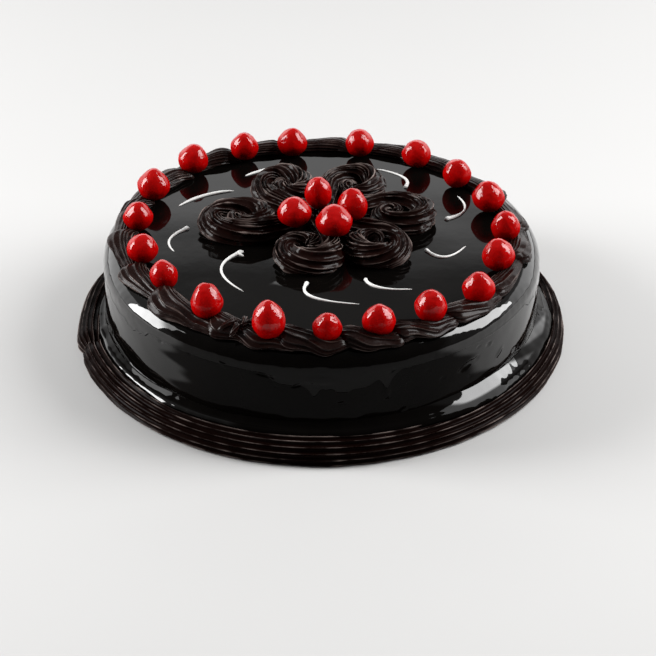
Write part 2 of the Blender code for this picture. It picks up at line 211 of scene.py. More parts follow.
def ruffle(piece: bpy.types.Object, sizes: tuple[tuple[float, float], ...]) -> None:
    """Push the surface in and out by soft noises, one after the other, and apply them.

    Args:
        piece: the object to change.
        sizes: for each noise, its bumps' width and their height from lowest to highest.
    """
    make_active(piece)
    for width, depth in sizes:
        pattern = bpy.data.textures.new(f"{piece.name}_noise", "CLOUDS")
        pattern.noise_scale = width
        pattern.noise_depth = 1
        bpy.ops.object.modifier_add(type="DISPLACE")
        push = piece.modifiers[-1]
        push.texture = pattern
        push.texture_coords = "LOCAL"
        push.strength = depth
        push.mid_level = 0.5
        bpy.ops.object.modifier_apply(modifier=push.name)


def press_foot(piece: bpy.types.Object) -> None:
    """Press whatever lies below the board's level flat onto it.

    Args:
        piece: the object to change.
    """
    points = read_points(piece)
    points[:, 2] = np.maximum(points[:, 2], 0.0)
    write_points(piece, points)


def finish_piece(piece: bpy.types.Object, material: bpy.types.Material) -> None:
    """Shade a piece smoothly, give it its material and let it ride on the cake.

    Args:
        piece: the finished mesh.
        material: its material.
    """
    make_active(piece)
    bpy.ops.object.shade_smooth()
    piece.data.materials.clear()
    piece.data.materials.append(material)
    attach(piece, "root")
    log.info("%s: %d faces", piece.name, len(piece.data.polygons))


def join_pieces(name: str, parts: list[bpy.types.Object]) -> bpy.types.Object:
    """Join several objects into the first of them.

    Args:
        name: the joined object's name.
        parts: the objects.

    Returns:
        The joined object.
    """
    deselect_all()
    for part in parts:
        part.select_set(True)
    bpy.context.view_layer.objects.active = parts[0]
    bpy.ops.object.join()
    return named(name)


def step_up(low: float, high: float, value: np.ndarray) -> np.ndarray:
    """Return 0 below low, 1 above high and a smooth rise between them."""
    share = np.clip((value - low) / (high - low), 0.0, 1.0)
    return share * share * (3.0 - 2.0 * share)


def crowd_crests(angle: np.ndarray, crests: int, pull: float = 0.8) -> np.ndarray:
    """Move directions towards the nearest crest, so that the thin crests get more faces.

    Args:
        angle: direction round the rope's own middle line.
        crests: number of crests round the rope.
        pull: how far they move; 0 leaves them evenly spread.

    Returns:
        The new directions.
    """
    place = (angle - math.pi / 2.0) * crests / FULL_TURN
    whole = np.floor(place + 1e-6)
    share = np.clip(place - whole, 0.0, 1.0)
    crowded = 0.5 - 0.5 * np.cos(math.pi * share)
    return math.pi / 2.0 + (whole + share + pull * (crowded - share)) * FULL_TURN / crests


def crest_place(angle: np.ndarray, crests: int, uneven: float) -> tuple[np.ndarray, np.ndarray]:
    """Return how near each direction is to a crest, and how tall that crest is.

    Args:
        angle: direction round the rope's own middle line.
        crests: number of crests round the rope.
        uneven: how much lower than the tallest crest the lowest one is, as a share.

    Returns:
        The nearness, 0 in a valley and 1 on a crest, and the crest's height as a share.
    """
    place = (angle - math.pi / 2.0) * crests / FULL_TURN
    across = np.abs(2.0 * (place - np.floor(place)) - 1.0)
    number = np.rint(place) % crests
    return across, 1.0 - uneven * (0.5 + 0.5 * np.sin(2.2 * number + 0.9))


def note(piece: bpy.types.Object, name: str, values: np.ndarray) -> None:
    """Keep one number for each point of a piece, for its finish to read."""
    mark = piece.data.attributes.new(name, "FLOAT", "POINT")
    mark.data.foreach_set("value", values)


def fade_note(piece: bpy.types.Object, name: str, share: np.ndarray) -> None:
    """Multiply a number that note has kept by a share for each point.

    Args:
        piece: the object.
        name: the number's name.
        share: what each point's number is multiplied by.
    """
    mark = piece.data.attributes[name]
    values = np.empty(len(share))
    mark.data.foreach_get("value", values)
    mark.data.foreach_set("value", values * share)


def mark_crest_highlights(piece: bpy.types.Object, across: np.ndarray, share: np.ndarray) -> None:
    """Note on each point how near it is to a crest, as the strength of the highlight that the
    finish paints there.

    Args:
        piece: the rope.
        across: nearness of each point to a crest, 1 on it.
        share: how sharp the crest is at each point.
    """
    note(piece, "painted_crest_highlight", share * np.clip((across - CREST_HIGHLIGHT_FROM) / (1.0 - CREST_HIGHLIGHT_FROM), 0.0, 1.0))


@dataclass
class RopeLine:
    """Middle line of a piped rope, with its size and roll at each point."""

    points: np.ndarray          # rows of X, Y and Z
    width: np.ndarray           # half the rope's width
    height: np.ndarray          # half the rope's height
    roll: np.ndarray            # turn of the ridges round the middle line
    level_up: bool = False      # True keeps every section upright
    square: bool = False        # True keeps every section square to the X axis
    depth: np.ndarray | float = 1.0     # share of the full groove at each point
    uneven: float = 0.0         # how much lower some crests are than others
    spread: float = 0.0         # how much closer together some crests are than others
    sharp: float = 2.4          # how narrow the crests are; 1 makes them plain wedges

    def lay(self, piece: bpy.types.Object, crests: int, groove: float) -> None:
        """Lay a tube blank along the line as a fluted rope.

        Args:
            piece: the blank, which must have a multiple of crests as its sides.
            crests: number of crests round the rope.
            groove: depth of the valleys as a share of the radius.
        """
        blank = read_points(piece)
        angle = np.arctan2(blank[:, 1], blank[:, 0])
        if groove > 0.0:
            angle = crowd_crests(angle, crests)
        radial = np.hypot(blank[:, 0], blank[:, 1])
        station = blank[:, 2] * (len(self.points) - 1)
        heading = np.gradient(self.points, axis=0)
        if self.level_up:
            heading[:, 2] = 0.0
        if self.square:
            heading = np.tile((1.0, 0.0, 0.0), (len(self.points), 1))
        heading /= np.linalg.norm(heading, axis=1)[:, None]
        side = np.cross((0.0, 0.0, 1.0), heading)
        side /= np.maximum(np.linalg.norm(side, axis=1), 1e-9)[:, None]
        up = np.cross(heading, side)
        order = np.arange(len(self.points))

        def at(values: np.ndarray) -> np.ndarray:
            """Read a row of values at every vertex's station.

            Args:
                values: one number or one row of three for each point of the line.

            Returns:
                The values, one for each vertex.
            """
            if values.ndim == 1:
                return np.interp(station, order, values)
            columns = [np.interp(station, order, values[:, i]) for i in range(3)]
            return np.stack(columns, axis=1)

        depth = at(np.broadcast_to(self.depth, order.shape))
        across, tall = crest_place(angle, crests, self.uneven)
        reach = radial * (1.0 - groove * depth * (1.0 - tall * across ** self.sharp))
        shifted = angle + self.spread * (np.sin(2.0 * angle + 0.8) + 0.6 * np.sin(3.0 * angle))
        turned = shifted + at(self.roll)
        aside = (reach * np.cos(turned) * at(self.width))[:, None] * at(side)
        rise = (reach * np.sin(turned) * at(self.height))[:, None] * at(up)
        write_points(piece, at(self.points) + aside + rise)
        # note where the finish paints a highlight along the crests
        mark_crest_highlights(piece, across, depth * tall ** 2)


# ------------------------------------------------------------------ finishes
def new_material(name: str) -> tuple[bpy.types.Material, bpy.types.NodeTree, bpy.types.Node]:
    """Make a Principled material and return it with its node tree and shader.

    Args:
        name: the material's name.

    Returns:
        The material, its node tree and its shader.
    """
    material = bpy.data.materials.new(name)
    material.use_nodes = True
    tree = material.node_tree
    return material, tree, tree.nodes["Principled BSDF"]


def set_values(shader: bpy.types.Node, values: dict[str, float | tuple[float, ...]]) -> None:
    """Set some of a shader's own sockets by their names."""
    for name, value in values.items():
        shader.inputs[name].default_value = value


def add_noise(tree: bpy.types.NodeTree, scale: float,
              detail: float = 2.0) -> bpy.types.NodeSocket:
    """Add a noise texture on Object coordinates and return its strength.

    Args:
        tree: the material's node tree.
        scale: how many bumps lie in a metre.
        detail: how many finer noises are laid over it.

    Returns:
        The noise's value.
    """
    place = tree.nodes.new("ShaderNodeTexCoord")
    pattern = tree.nodes.new("ShaderNodeTexNoise")
    pattern.inputs["Scale"].default_value = scale
    pattern.inputs["Detail"].default_value = detail
    tree.links.new(place.outputs["Object"], pattern.inputs["Vector"])
    return pattern.outputs["Fac"]


def add_attribute(tree: bpy.types.NodeTree, name: str) -> bpy.types.NodeSocket:
    """Read the numbers that note keeps under a name.

    Args:
        tree: the material's node tree.
        name: the numbers' name.

    Returns:
        The number at each point.
    """
    node = tree.nodes.new("ShaderNodeAttribute")
    node.attribute_name = name
    return node.outputs["Fac"]


def add_product(tree: bpy.types.NodeTree, first: bpy.types.NodeSocket,
                second: bpy.types.NodeSocket) -> bpy.types.NodeSocket:
    """Multiply two values.

    Args:
        tree: the material's node tree.
        first: one value.
        second: the other value.

    Returns:
        Their product.
    """
    node = tree.nodes.new("ShaderNodeMath")
    node.operation = "MULTIPLY"
    tree.links.new(first, node.inputs[0])
    tree.links.new(second, node.inputs[1])
    return node.outputs["Value"]


def add_axis(tree: bpy.types.NodeTree, kind: str, axis: str) -> bpy.types.NodeSocket:
    """Return the X, Y or Z of a kind of coordinates.

    Args:
        tree: the material's node tree.
        kind: which output of Texture Coordinate is read.
        axis: X, Y or Z.

    Returns:
        The coordinate along that axis.
    """
    place = tree.nodes.new("ShaderNodeTexCoord")
    split = tree.nodes.new("ShaderNodeSeparateXYZ")
    tree.links.new(place.outputs[kind], split.inputs["Vector"])
    return split.outputs[axis]


def add_bump(tree: bpy.types.NodeTree, height: bpy.types.NodeSocket, depth: float,
             below: bpy.types.NodeSocket | None = None) -> bpy.types.NodeSocket:
    """Add a bump of a real depth, on top of another normal if one is given.

    Args:
        tree: the material's node tree.
        height: the pattern that sets the relief.
        depth: the relief's height.
        below: the coarser relief that this one lies on.

    Returns:
        The bent normal.
    """
    bump = tree.nodes.new("ShaderNodeBump")
    bump.inputs["Strength"].default_value = 1.0
    bump.inputs["Distance"].default_value = depth
    tree.links.new(height, bump.inputs["Height"])
    if below is not None:
        tree.links.new(below, bump.inputs["Normal"])
    return bump.outputs["Normal"]


def add_relief(tree: bpy.types.NodeTree, shader: bpy.types.Node,
               layers: tuple[tuple[float, float], ...],
               normals: tuple[str, ...] = ("Normal",)) -> None:
    """Stack noise bumps from coarse to fine under a shader.

    Args:
        tree: the material's node tree.
        shader: the shader.
        layers: for each bump, its noise's scale and its real depth.
        normals: the shader's sockets that get the relief.
    """
    relief = None
    for scale, depth in layers:
        relief = add_bump(tree, add_noise(tree, scale), depth, relief)
    for name in normals:
        tree.links.new(relief, shader.inputs[name])


def add_range(tree: bpy.types.NodeTree, source: bpy.types.NodeSocket,
              before: tuple[float, float], after: tuple[float, float]) -> bpy.types.NodeSocket:
    """Map a value from one range to another, without going past the ends.

    Args:
        tree: the material's node tree.
        source: the value.
        before: the two ends of the first range.
        after: what those two ends become.

    Returns:
        The new value.
    """
    node = tree.nodes.new("ShaderNodeMapRange")
    node.inputs["From Min"].default_value = before[0]
    node.inputs["From Max"].default_value = before[1]
    node.inputs["To Min"].default_value = after[0]
    node.inputs["To Max"].default_value = after[1]
    tree.links.new(source, node.inputs["Value"])
    return node.outputs["Result"]


def add_mix(tree: bpy.types.NodeTree, share: bpy.types.NodeSocket,
            first: tuple[float, float, float] | bpy.types.NodeSocket,
            second: tuple[float, float, float]) -> bpy.types.NodeSocket:
    """Mix a colour, or another mix, with a second colour by a share.

    Args:
        tree: the material's node tree.
        share: how much of the second colour there is.
        first: the first colour or mix.
        second: the second colour.

    Returns:
        The mixed colour.
    """
    node = tree.nodes.new("ShaderNodeMix")
    node.data_type = "RGBA"
    if isinstance(first, tuple):
        node.inputs["A"].default_value = (*first, 1.0)
    else:
        tree.links.new(first, node.inputs["A"])
    node.inputs["B"].default_value = (*second, 1.0)
    tree.links.new(share, node.inputs["Factor"])
    return node.outputs["Result"]


class Coat(Enum):
    """How strongly each coat of the glaze shines, as a share of the thickest one."""

    FIRST = 0.0
    SECOND = 0.13
    TOP = 0.33
    HEAVY = 1.0


@dataclass(frozen=True)
class MirrorGlaze:
    """Nearly black glaze, poured and set to a mirror, brighter where it lies thick."""

    deep: tuple[float, float, float] = (0.0013, 0.0011, 0.0010)
    thin: tuple[float, float, float] = (0.0032, 0.0025, 0.0021)
    cloud: float = 35.0         # scale of the change between the two colours
    roughness: float = 0.035
    ior: float = 1.13
    thick_ior: float = 1.46
    relief: tuple[tuple[float, float], ...] = ((120.0, 0.000008), (1400.0, 0.000003))

    def material(self) -> bpy.types.Material:
        """Return the glaze material.

        Returns:
            The material, ready for a piece.
        """
        material, tree, shader = new_material("mirror_glaze")
        colour = add_mix(tree, add_noise(tree, self.cloud), self.deep, self.thin)
        tree.links.new(colour, shader.inputs["Base Color"])
        tree.links.new(add_attribute(tree, "thick"), shader.inputs["Coat Weight"])
        set_values(shader, {"Roughness": self.roughness, "IOR": self.ior,
                            "Coat Roughness": self.roughness, "Coat IOR": self.thick_ior})
        add_relief(tree, shader, self.relief, ("Normal", "Coat Normal"))
        return material


@dataclass(frozen=True)
class PipedGanache:
    """Dark, satin chocolate cream from a star nozzle, with highlights painted as lighter colour
    along its crests.
    """

    name: str = "piped_ganache"
    dark: tuple[float, float, float] = (0.0062, 0.0021, 0.0016)
    light: tuple[float, float, float] = (0.0130, 0.0048, 0.0038)
    cloud: float = 160.0        # scale of the change between the two colours
    # painted highlight: lighter colour along the crests, standing in for their glints
    painted_crest_highlight: tuple[float, float, float] = (0.2500, 0.1850, 0.1650)
    crest_highlight_scale: float = 110.0  # scale of the breaks in the crests' painted highlight lines
    crest_highlight_range: tuple[float, float] = (0.40, 0.62)
    crest_highlight_share: tuple[float, float] = (0.06, 0.95)
    rough_scale: float = 700.0
    roughness: tuple[float, float] = (0.20, 0.32)
    ior: float = 1.15
    coat: float = 0.12
    coat_roughness: float = 0.07
    relief: tuple[tuple[float, float], ...] = ((420.0, 0.00003), (2200.0, 0.000008))

    def material(self) -> bpy.types.Material:
        """Return the ganache material.

        Returns:
            The material, ready for a piece.
        """
        material, tree, shader = new_material(self.name)
        body = add_mix(tree, add_noise(tree, self.cloud, 3.0), self.dark, self.light)
        # painted highlight: the crest colour, broken up by noise, is mixed over the body where
        # the crests are noted
        breaks = add_range(tree, add_noise(tree, self.crest_highlight_scale), self.crest_highlight_range,
                           self.crest_highlight_share)
        share = add_product(tree, add_attribute(tree, "painted_crest_highlight"), breaks)
        tree.links.new(add_mix(tree, share, body, self.painted_crest_highlight), shader.inputs["Base Color"])
        rough = add_range(tree, add_noise(tree, self.rough_scale), NOISE_BODY, self.roughness)
        tree.links.new(rough, shader.inputs["Roughness"])
        set_values(shader, {"IOR": self.ior, "Coat Weight": self.coat,
                            "Coat Roughness": self.coat_roughness})
        add_relief(tree, shader, self.relief)
        return material


@dataclass(frozen=True)
class GlazedCherry:
    """Candied cherry flesh, see-through red under a wet coat, with shade painted darker towards
    its foot.
    """

    foot: float                 # height of the cherries' feet
    tall: float                 # how tall they are
    deep: tuple[float, float, float] = (0.115, 0.0003, 0.0004)
    bright: tuple[float, float, float] = (0.415, 0.0011, 0.0010)
    unshaded_from: float = 0.60     # share of the height from which no painted shade darkens it
    shaded_foot_bright: float = 0.15    # how bright it is at its foot, under the painted shade
    mottle_scale: float = 320.0
    mottle: tuple[float, float] = (0.72, 1.0)
    flesh: float = 0.15         # share of light that goes through the flesh
    flesh_depth: float = 0.0020
    wet_from: tuple[float, float] = (0.48, 0.68)    # shares of the height
    wet: tuple[float, float] = (0.03, 1.0)          # the coat at those heights
    relief: tuple[tuple[float, float], ...] = ((260.0, 0.00040), (900.0, 0.00009))

    def material(self) -> bpy.types.Material:
        """Return the cherry material.

        Returns:
            The material, ready for a piece.
        """
        material, tree, shader = new_material("glazed_cherry")
        high = add_axis(tree, "Object", "Z")
        # painted shade: the red darkens towards the cherry's foot
        lift = add_range(tree, high, (self.foot, self.foot + self.unshaded_from * self.tall),
                         (self.shaded_foot_bright, 1.0))
        mottle = add_range(tree, add_noise(tree, self.mottle_scale), NOISE_BODY, self.mottle)
        colour = add_mix(tree, add_product(tree, lift, mottle), self.deep, self.bright)
        tree.links.new(colour, shader.inputs["Base Color"])
        low, top = (self.foot + share * self.tall for share in self.wet_from)
        tree.links.new(add_range(tree, high, (low, top), self.wet), shader.inputs["Coat Weight"])
        set_values(shader, {"Roughness": 0.30, "Specular IOR Level": 0.0,
                            "Subsurface Weight": self.flesh,
                            "Subsurface Radius": (1.0, 0.02, 0.02),
                            "Subsurface Scale": self.flesh_depth,
                            "Coat Roughness": 0.012, "Coat IOR": 1.40})
        add_relief(tree, shader, self.relief, ("Normal", "Coat Normal"))
        return material


@dataclass(frozen=True)
class WhiteDrizzle:
    """White chocolate, set with a soft shine."""

    colour: tuple[float, float, float] = (0.88, 0.88, 0.86)
    shade: float = 0.88         # how much darker its darkest spots are
    cloud: float = 500.0        # scale of those spots and of its low bumps
    roughness: float = 0.38
    bump: float = 0.00005

    def material(self) -> bpy.types.Material:
        """Return the drizzle material.

        Returns:
            The material, ready for a piece.
        """
        material, tree, shader = new_material("white_drizzle")
        shade = tuple(self.shade * part for part in self.colour)
        colour = add_mix(tree, add_noise(tree, self.cloud), shade, self.colour)
        tree.links.new(colour, shader.inputs["Base Color"])
        set_values(shader, {"Roughness": self.roughness})
        add_relief(tree, shader, ((self.cloud, self.bump),))
        return material


# ------------------------------------------------------------------ glazed drum
@dataclass(frozen=True)
class Mark:
    """A hollow or a raised spot in the poured coat."""

    angle: float                # degrees
    level: float                # height above the board, mm
    wide: float                 # half its width, mm
    tall: float                 # half its height, mm
    depth: float                # how deep it is, mm; less than 0 stands out
    slant: float = 0.25         # how far it leans as it goes round


@dataclass
class GlazedDrum:
    """The poured cake: wall, rounded shoulder and mirror top."""

    radius: float
    height: float
    shoulder: float = 0.0085
    foot_round: float = 0.0012
    around: int = 720
    first_rows: int = 46        # rows of the wall below the second coat's hem
    second_rows: int = 34
    shoulder_rows: int = 12
    top_rows: int = 40
    crowd_ring: float = 0.41    # share of the way in where the rows lie closest
    crowd_pull: float = 0.6
    hem_base: float = 0.0465    # the hem's height where nothing ran down
    hem_range: tuple[float, float] = (0.0030, 0.0385)
    coat_depth: float = 0.26    # how far the second coat stands out, mm
    swell_depth: float = 0.35   # how far the poured wall swells, mm
    row_ease: float = 1.4       # how much closer the wall's rows lie at the hem
    sags: tuple[tuple[float, float, float], ...] = (    # degrees, half width, drop in mm
        (-86, 21, 16), (-73.5, 1.4, 6), (-101, 2.4, 3), (-150, 20, 12), (-10, 24, 12),
        (34, 12, 12), (62, 15, 15), (86, 1.8, 7), (104, 22, 14), (139, 11, 8), (-92, 1.3, 4),
    )
    top_edge: tuple[float, float] = (0.88, 0.93)    # shares of the radius where the top ends
    heavy_arc: tuple[float, float] = (-46.0, 231.0)     # degrees where the coat ran thick
    heavy_slant: tuple[float, float] = (-0.55, -0.15)   # degrees for each mm of height
    heavy_level: float = 25.0   # height at which the arc is as wide as that, mm
    heavy_edge: float = 2.2     # half the width of its soft edge, degrees
    dent: tuple[float, float, float, float] = (-18.5, -37.0, 3.6, 1.5)  # place and size, mm
    dent_depth: float = 0.16    # mm
    top_wave: float = 0.05      # how far the top's skin rises and falls, mm
    marks: tuple[Mark, ...] = (
        Mark(-50.3, 28.6, 4.0, 1.6, 1.10, 0.30),
        Mark(-46.8, 30.4, 1.5, 0.8, 0.45, 0.40),
        Mark(-104.2, 37.4, 4.4, 0.9, 0.50, -0.10),
        Mark(-90.2, 36.4, 6.6, 1.9, -0.34, -0.04),
        Mark(-96.0, 33.4, 3.0, 1.0, 0.45, 0.30),
        Mark(-73.4, 28.0, 1.5, 3.4, -0.40, 0.10),
        Mark(-89.7, 41.6, 3.0, 0.6, 0.40, 0.0),
        Mark(-115.3, 38.9, 2.0, 1.1, -0.30, -0.40),
        Mark(-134.8, 37.9, 1.0, 0.7, 0.50, 0.20),
        Mark(-42.4, 34.6, 1.3, 0.8, 0.50, 0.30),
        Mark(-37.5, 26.2, 2.6, 0.8, -0.35, 0.60),
        Mark(-66.0, 12.0, 3.4, 0.9, -0.30, 0.30),
        Mark(-85.0, 24.0, 2.2, 1.0, 0.35, 0.10),
    )
    pit_count: int = 46
    pit_levels: tuple[float, float] = (14.0, 42.0)  # mm, as are the next three
    pit_wide: tuple[float, float] = (0.5, 2.0)
    pit_tall: tuple[float, float] = (0.4, 0.9)
    pit_depths: tuple[float, ...] = (-0.20, 0.25, 0.35)
    pit_slant: tuple[float, float] = (-0.3, 0.5)
    pit_arcs: tuple[tuple[float, float], ...] = ((-80.0, -46.0), (-135.0, 40.0), (60.0, 200.0))

    def hem(self, angle: np.ndarray) -> np.ndarray:
        """Return the height at which the second coat ends, at each angle.

        Args:
            angle: direction of each point.

        Returns:
            The hem's height above the board.
        """
        hem = np.full_like(angle, self.hem_base)
        for middle, half, drop in self.sags:
            away = (np.degrees(angle) - middle + 180.0) % 360.0 - 180.0
            hem = hem - drop * MM * np.exp(-(away / half) ** 2)
        hem = hem + MM * (0.7 * np.sin(23.0 * angle) + 0.5 * np.sin(57.0 * angle + 1.0)
                          + 0.35 * np.sin(131.0 * angle) * np.sin(7.0 * angle))
        return np.clip(hem, *self.hem_range)

    def profile(self, angle: np.ndarray, row: np.ndarray) -> tuple[np.ndarray, np.ndarray]:
        """Return radius and height at each angle and row, from the foot's middle to the top's.

        Args:
            angle: direction of each point.
            row: row of each point, 0 in the middle of the foot.

        Returns:
            The radius and the height.
        """
        start = self.radius - self.shoulder
        high = self.height - self.shoulder
        hem = self.hem(angle)
        first = np.clip((row - 1.0) / self.first_rows, 0.0, 1.0)
        second = np.clip((row - 1.0 - self.first_rows) / self.second_rows, 0.0, 1.0)
        above = row - 1.0 - self.first_rows - self.second_rows
        bend = math.pi / 2.0 * np.clip(above / self.shoulder_rows, 0.0, 1.0)
        inwards = np.clip((above - self.shoulder_rows) / self.top_rows, 0.0, 1.0)
        ring = FULL_TURN * self.crowd_ring
        inwards = inwards - self.crowd_pull / FULL_TURN * (
            np.sin(FULL_TURN * inwards - ring) + math.sin(ring))
        level = self.foot_round + (hem - self.foot_round) * (1.0 - (1.0 - first) ** self.row_ease)
        level = level + (high - hem) * second ** self.row_ease + self.shoulder * np.sin(bend)
        radius = (start + self.shoulder * np.cos(bend)) * (1.0 - inwards)
        radius = np.where(row < 1.5, self.radius - self.foot_round, radius)
        return np.where(row < 0.5, 0.0, radius), np.where(row < 1.5, 0.0, level)

    def all_marks(self) -> list[Mark]:
        """Return the placed marks and the small pits scattered among them.

        Returns:
            The marks, the placed ones first.
        """
        draw = random.Random(31)
        pits = [Mark(draw.uniform(*self.pit_arcs[number % len(self.pit_arcs)]),
                     draw.uniform(*self.pit_levels), draw.uniform(*self.pit_wide),
                     draw.uniform(*self.pit_tall), draw.choice(self.pit_depths),
                     draw.uniform(*self.pit_slant)) for number in range(self.pit_count)]
        return [*self.marks, *pits]

    def coat(self, angle: np.ndarray, level: np.ndarray) -> np.ndarray:
        """Return how far the poured coats stand out from the wall.

        Args:
            angle: direction of each point.
            level: height of each point.

        Returns:
            The distance outwards, positive or negative.
        """
        wall = step_up(0.002, 0.010, level) * (1.0 - step_up(0.040, 0.049, level))
        swell = (0.30 * np.sin(3.0 * angle + 0.6) + 0.22 * np.sin(5.0 * angle + 2.1)
                 + 0.14 * np.sin(11.0 * angle + 100.0 * level))
        above = (level - self.hem(angle)) / MM
        bead = 1.0 + 0.5 * np.exp(-((above - 0.7) / 0.6) ** 2)
        second = self.coat_depth * step_up(-0.05, 0.45, above) * bead
        second = second * (1.0 - step_up(0.043, 0.047, level))
        relief = np.zeros_like(angle)
        for mark in self.all_marks():
            away = (angle - math.radians(mark.angle) + math.pi) % FULL_TURN - math.pi
            arc = away * self.radius / MM
            across = arc / mark.wide
            along = (level / MM - mark.level - mark.slant * arc) / mark.tall
            relief = relief + mark.depth * np.exp(-(across ** 2 + along ** 2) ** 2)
        return MM * (self.swell_depth * swell * wall + second - relief * wall)

    def build(self) -> bpy.types.Object:
        """Wrap a sheet round the drum and set the ripples of the poured glaze.

        Returns:
            The drum, closed at the foot and at the top.
        """
        rows = 1 + self.first_rows + self.second_rows + self.shoulder_rows + self.top_rows
        piece = sheet_blank("glazed_cake", self.around, rows)
        blank = read_points(piece)
        angle = blank[:, 0] * FULL_TURN
        radius, level = self.profile(angle, np.rint(blank[:, 1] * rows))
        radius = radius + self.coat(angle, level) * (radius > 0.5 * self.radius)
        points = np.stack([radius * np.cos(angle), radius * np.sin(angle), level], axis=1)
        write_points(piece, self.ripple(points))
        note(piece, "thick", self.shine(angle, level, np.hypot(points[:, 0], points[:, 1])))
        close_up(piece)
        return piece

    def wave(self, x: float, y: float, z: float) -> float:
        """Return how far the uneven skin of the wall stands out at a point.

        Args:
            x: place along X.
            y: place along Y.
            z: height.

        Returns:
            The distance outwards, positive or negative.
        """
        broad = noise.noise(Vector((x, y, 1.3 * z)) * 38.0)
        fine = noise.noise(Vector((x, y, 1.6 * z)) * 120.0 + Vector((7.0, 3.0, 1.0)))
        rough = noise.noise(Vector((x, y, z)) * 300.0)
        shoulder = min(max((z - 0.036) / 0.004, 0.0), 1.0)
        return MM * (0.34 * broad + 0.07 * fine + 0.10 * shoulder * rough)

    def ripple(self, points: np.ndarray) -> np.ndarray:
        """Return the points with the uneven skin of a poured glaze.

        Args:
            points: the drum's plain points.

        Returns:
            The moved points.
        """
        moved = points.copy()
        left, front, wide, deep = (MM * size for size in self.dent)
        for row, (x, y, z) in enumerate(points):
            out = math.hypot(x, y)
            if out < 1e-6 or z < 1e-5:
                continue
            on_wall = min(max((out - 0.94 * self.radius) / (0.05 * self.radius), 0.0), 1.0)
            push = on_wall * min(z / 0.006, 1.0) * self.wave(x, y, z)
            sag = MM * (1.0 - on_wall) * self.top_wave * noise.noise(Vector((x, y, 5.0)) * 30.0)
            dip = ((x - left) / wide) ** 2 + ((y - front) / deep) ** 2
            sag -= MM * self.dent_depth * math.exp(-dip * dip) * (1.0 - on_wall)
            moved[row] = (x + push * x / out, y + push * y / out, z + sag)
        return moved

    def heavy(self, angle: np.ndarray, level: np.ndarray) -> np.ndarray:
        """Return 1 where the coat ran thick, round the sides and the back, and 0 in front.

        Args:
            angle: direction of each point.
            level: height of each point.

        Returns:
            The share, soft at the edges.
        """
        degrees = np.degrees(angle) % 360.0
        high = level / MM
        ragged = 1.9 * np.sin(0.42 * high) + 1.0 * np.sin(0.97 * high + 1.0)
        above = high - self.heavy_level
        right = self.heavy_arc[0] % 360.0 + self.heavy_slant[0] * above + ragged
        left = self.heavy_arc[1] + self.heavy_slant[1] * above - 1.5 * ragged
        return np.maximum(step_up(-self.heavy_edge, self.heavy_edge, degrees - right),
                          step_up(-self.heavy_edge, self.heavy_edge, left - degrees))

    def shine(self, angle: np.ndarray, level: np.ndarray, out: np.ndarray) -> np.ndarray:
        """Return how strongly the glaze shines at each point.

        Args:
            angle: direction of each point.
            level: height of each point.
            out: distance of each point from the cake's axis.

        Returns:
            The share of the thickest coat's shine.
        """
        second = step_up(-0.1, 0.4, (level - self.hem(angle)) / MM)
        share = Coat.FIRST.value + (Coat.SECOND.value - Coat.FIRST.value) * second
        share = share + (Coat.HEAVY.value - share) * self.heavy(angle, level)
        on_top = 1.0 - step_up(*self.top_edge, out / self.radius)
        return share + (Coat.TOP.value - share) * on_top


# ------------------------------------------------------------------ base border
@dataclass
class BaseRope:
    """The ridged rope round the foot, whose end lies over its start."""

    wall: float                 # radius of the drum
    centre_out: float = 0.0058
    centre_height: float = 0.0030
    radius: float = 0.0080
    crests: int = 17
    groove: float = 0.17
    seam: float = math.radians(193.0)
    start_back: float = math.radians(3.0)   # how far before the seam it starts
    overlap: float = math.radians(9.0)
    sway: float = 0.0009
    lap_out: float = 0.0016     # how far its end swings out
    lap_up: float = 0.0010      # how far its end climbs, and its start lies lower
    start_in: float = 0.0012    # how far its start lies inwards
    steps: int = 720
    ruffles: tuple[tuple[float, float], ...] = ((0.0120, 0.0006),)

    def line(self) -> RopeLine:
        """Return the rope's middle line, round the foot and a little past its start.

        Returns:
            The line.
        """
        share = np.linspace(0.0, 1.0, self.steps + 1)
        angle = self.seam - self.start_back + share * (FULL_TURN + self.overlap)
        sway = 0.5 * self.sway * (np.sin(2.0 * angle - 1.0) + 0.6 * np.sin(5.0 * angle))
        last = step_up(0.93, 1.0, share)
        first = 1.0 - step_up(0.0, 0.02, share)
        out = self.wall + self.centre_out + sway + self.lap_out * last - self.start_in * first
        high = self.centre_height + self.lap_up * last - self.lap_up * first
        points = np.stack([out * np.cos(angle), out * np.sin(angle), high], axis=1)
        ends = np.minimum(step_up(0.0, 0.012, share) * 0.6 + 0.4,
                          1.0 - 0.75 * step_up(0.972, 1.0, share))
        thick = self.radius * (1.0 + 0.020 * np.sin(37.0 * share) + 0.012 * np.sin(91.0 * share))
        return RopeLine(points, thick * ends, thick * ends,
                        0.05 * np.sin(3.0 * angle) + 0.10 * last)

    def build(self) -> bpy.types.Object:
        """Lay the rope and press its foot flat on the board.

        Returns:
            The rope.
        """
        piece = tube_blank("base_rope", self.crests * 10, (28, 20))
        self.line().lay(piece, self.crests, self.groove)
        press_foot(piece)
        ruffle(piece, self.ruffles)
        press_foot(piece)
        return piece


